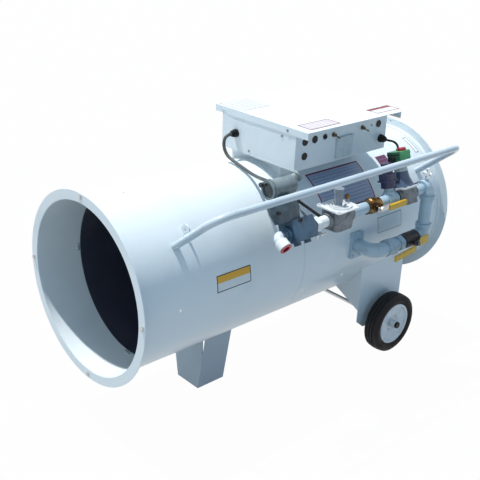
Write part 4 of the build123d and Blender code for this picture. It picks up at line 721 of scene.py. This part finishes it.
# ---- Held cords ------------------------------------------------------------------------------
# A grey jacketed conduit from the box to the drive head, and a black rubber cable from the box to
# the solenoid's coil. A nylon gland at the box and a seat at the far end grip each of them.
cord_rubber = finish(
    "cord_rubber", srgb(18, 19, 22), srgb(40, 40, 42), 0.55, dust=(50.0, 0.45, 0.8), shine=0.3
)
conduit_jacket = finish(
    "conduit_jacket", srgb(62, 68, 68), srgb(88, 94, 92), 0.5, dust=(50.0, 0.45, 0.8)
)


def cord_curve(name, points, diameter, node, material):
    """A smooth cord: an order-3 NURBS spline whose control points are the route's points."""
    curve = bpy.data.curves.new(name, "CURVE")
    curve.dimensions = "3D"
    curve.bevel_depth = diameter / 2
    curve.bevel_resolution = 5
    curve.resolution_u = 12
    curve.use_fill_caps = True
    spline = curve.splines.new("NURBS")
    spline.points.add(len(points) - 1)
    for at, point in zip(spline.points, points):
        at.co = (*point, 1.0)
    spline.order_u = 3
    spline.use_endpoint_u = True
    piece = bpy.data.objects.new(name, curve)
    bpy.context.scene.collection.objects.link(piece)
    curve.materials.append(material)
    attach(piece, "heater")
    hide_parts(node)
    return piece


conduit_d, cable_d = 0.012, 0.0084
conduit_route = [
    (0.682, 0.061, 0.399),
    (0.652, 0.061, 0.399),
    (0.642, 0.058, 0.361),
    (0.643, 0.037, 0.330),
    (0.6454, 0.006, 0.3182),
    (0.6346, -0.052, 0.3138),
    (0.630, -0.100, 0.306),
    (0.610, -0.157, 0.311),
    (0.556, -0.247, 0.3384),
    (0.556, -0.273, 0.3384),
]
cord_curve("box_conduit", conduit_route, conduit_d, "flex_conduit", conduit_jacket)

cable_route = [
    (1.169, -0.266, 0.375),
    (1.169, -0.284, 0.375),
    (1.166, -0.306, 0.379),
    (1.161, -0.33111, 0.373189),
    (1.161, -0.335745, 0.358923),
]
cord_curve("solenoid_cord", cable_route, cable_d, "solenoid_cable", cord_rubber)


# ---- Floor, light and camera -----------------------------------------------------------------
# A pale floor, a high sun a little behind the drum, and a sky that is pale off the outlet and deep
# blue on the panel's side. Camera, mirror and glass rays see the floor and the sky as white.
def seen_straight(tree):
    """1 for camera, mirror and glass rays, and 0 for the light that falls on things."""
    ray = add_node(tree, "ShaderNodeLightPath")
    bounced = maths(tree, "MAXIMUM", ray.outputs["Is Glossy Ray"], ray.outputs["Is Transmission Ray"])
    return maths(tree, "MAXIMUM", ray.outputs["Is Camera Ray"], bounced)


def blend_shaders(tree, share, lit, white, end):
    """Sends a blend of two shaders to an output node's surface."""
    blend = add_node(tree, "ShaderNodeMixShader")
    link(tree, share, blend.inputs["Fac"])
    link(tree, lit, blend.inputs[1])
    link(tree, white, blend.inputs[2])
    link(tree, blend.outputs["Shader"], tree.nodes[end].inputs["Surface"])


white_light = (1.0, 1.0, 1.0, 1.0)
floor_z = -0.541
floor_half = 40
floor_whiteness = 0.98
floor_mesh = bpy.data.meshes.new("floor")
floor_signs = (-1, -1), (1, -1), (1, 1), (-1, 1)
floor_corners = [(x * floor_half, y * floor_half, floor_z) for x, y in floor_signs]
floor_mesh.from_pydata(floor_corners, [], [(0, 1, 2, 3)])
floor = bpy.data.objects.new("floor", floor_mesh)
bpy.context.scene.collection.objects.link(floor)
floor_paint = bpy.data.materials.new("floor_paint")
floor_paint.use_nodes = True
floor_tree = floor_paint.node_tree
floor_shader = floor_tree.nodes["Principled BSDF"]
floor_shader.inputs["Base Color"].default_value = (0.32, 0.345, 0.355, 1.0)
floor_shader.inputs["Roughness"].default_value = 0.9
floor_glow = add_node(floor_tree, "ShaderNodeEmission")
floor_glow.inputs["Color"].default_value = white_light
floor_glow.inputs["Strength"].default_value = 1.0
floor_share = maths(floor_tree, "MULTIPLY", seen_straight(floor_tree), floor_whiteness)
floor_ends = floor_shader.outputs["BSDF"], floor_glow.outputs["Emission"]
blend_shaders(floor_tree, floor_share, *floor_ends, "Material Output")
floor_mesh.materials.append(floor_paint)

sky = bpy.data.worlds.new("sky")
sky.use_nodes = True
bpy.context.scene.world = sky
sky_tree = sky.node_tree
sky_light = sky_tree.nodes["Background"]
sky_light.inputs["Strength"].default_value = 1.0
sky_way = add_node(sky_tree, "ShaderNodeTexCoord")
sky_facing = add_node(sky_tree, "ShaderNodeVectorMath", operation="DOT_PRODUCT")
sky_facing.inputs[1].default_value = (-0.90, 0.40, 0.15)  # the way to the sky's pale side
sky_turn = add_node(sky_tree, "ShaderNodeMapRange", interpolation_type="SMOOTHSTEP")
sky_turn.inputs["From Min"].default_value = -0.1
sky_turn.inputs["From Max"].default_value = 0.8
link(sky_tree, sky_way.outputs["Generated"], sky_facing.inputs[0])
link(sky_tree, sky_facing.outputs["Value"], sky_turn.inputs["Value"])
deep_blue, pale_blue = (0.20, 0.34, 0.50, 1.0), (0.57, 0.69, 0.80, 1.0)
sky_blue = mixed(sky_tree, sky_turn.outputs["Result"], deep_blue, pale_blue)
link(sky_tree, sky_blue, sky_light.inputs["Color"])
sky_white = add_node(sky_tree, "ShaderNodeBackground")
sky_white.inputs["Color"].default_value = white_light
sky_white.inputs["Strength"].default_value = 1.0
sky_ends = sky_light.outputs["Background"], sky_white.outputs["Background"]
blend_shaders(sky_tree, seen_straight(sky_tree), *sky_ends, "World Output")

key_lamp = bpy.data.lights.new("key_lamp", "SUN")
key_lamp.energy = 4.4
key_lamp.angle = math.radians(1.5)
key_lamp.color = (1.0, 0.985, 0.96)
key = bpy.data.objects.new("key_lamp", key_lamp)
bpy.context.scene.collection.objects.link(key)
toward_key = Vector((-0.14, 0.37, 1.0)).normalized()
key_distance = 6.0
key.rotation_euler = toward_key.to_track_quat("Z", "Y").to_euler()
key.location = toward_key * key_distance

camera_data = bpy.data.cameras.new("camera")
camera_data.lens = 61.63
camera_data.sensor_width = 36.0
camera_data.clip_end = 200.0
camera = bpy.data.objects.new("camera", camera_data)
bpy.context.scene.collection.objects.link(camera)
pitch, yaw, roll = (math.radians(a) for a in (23.795, 43.026, 2.40))
forward = Vector((math.sin(yaw) * math.cos(pitch), math.cos(yaw) * math.cos(pitch), -math.sin(pitch)))
level = forward.cross(Vector((0, 0, 1))).normalized()
upright = level.cross(forward)
right = level * math.cos(roll) + upright * math.sin(roll)
up = upright * math.cos(roll) - level * math.sin(roll)
turn = Matrix((right, up, -forward)).transposed()
camera_at = (-1.2654, -2.0956, 1.2581)
camera.matrix_world = Matrix.Translation(camera_at) @ turn.to_4x4()
bpy.context.scene.camera = camera
bpy.context.scene.view_settings.view_transform = "Standard"
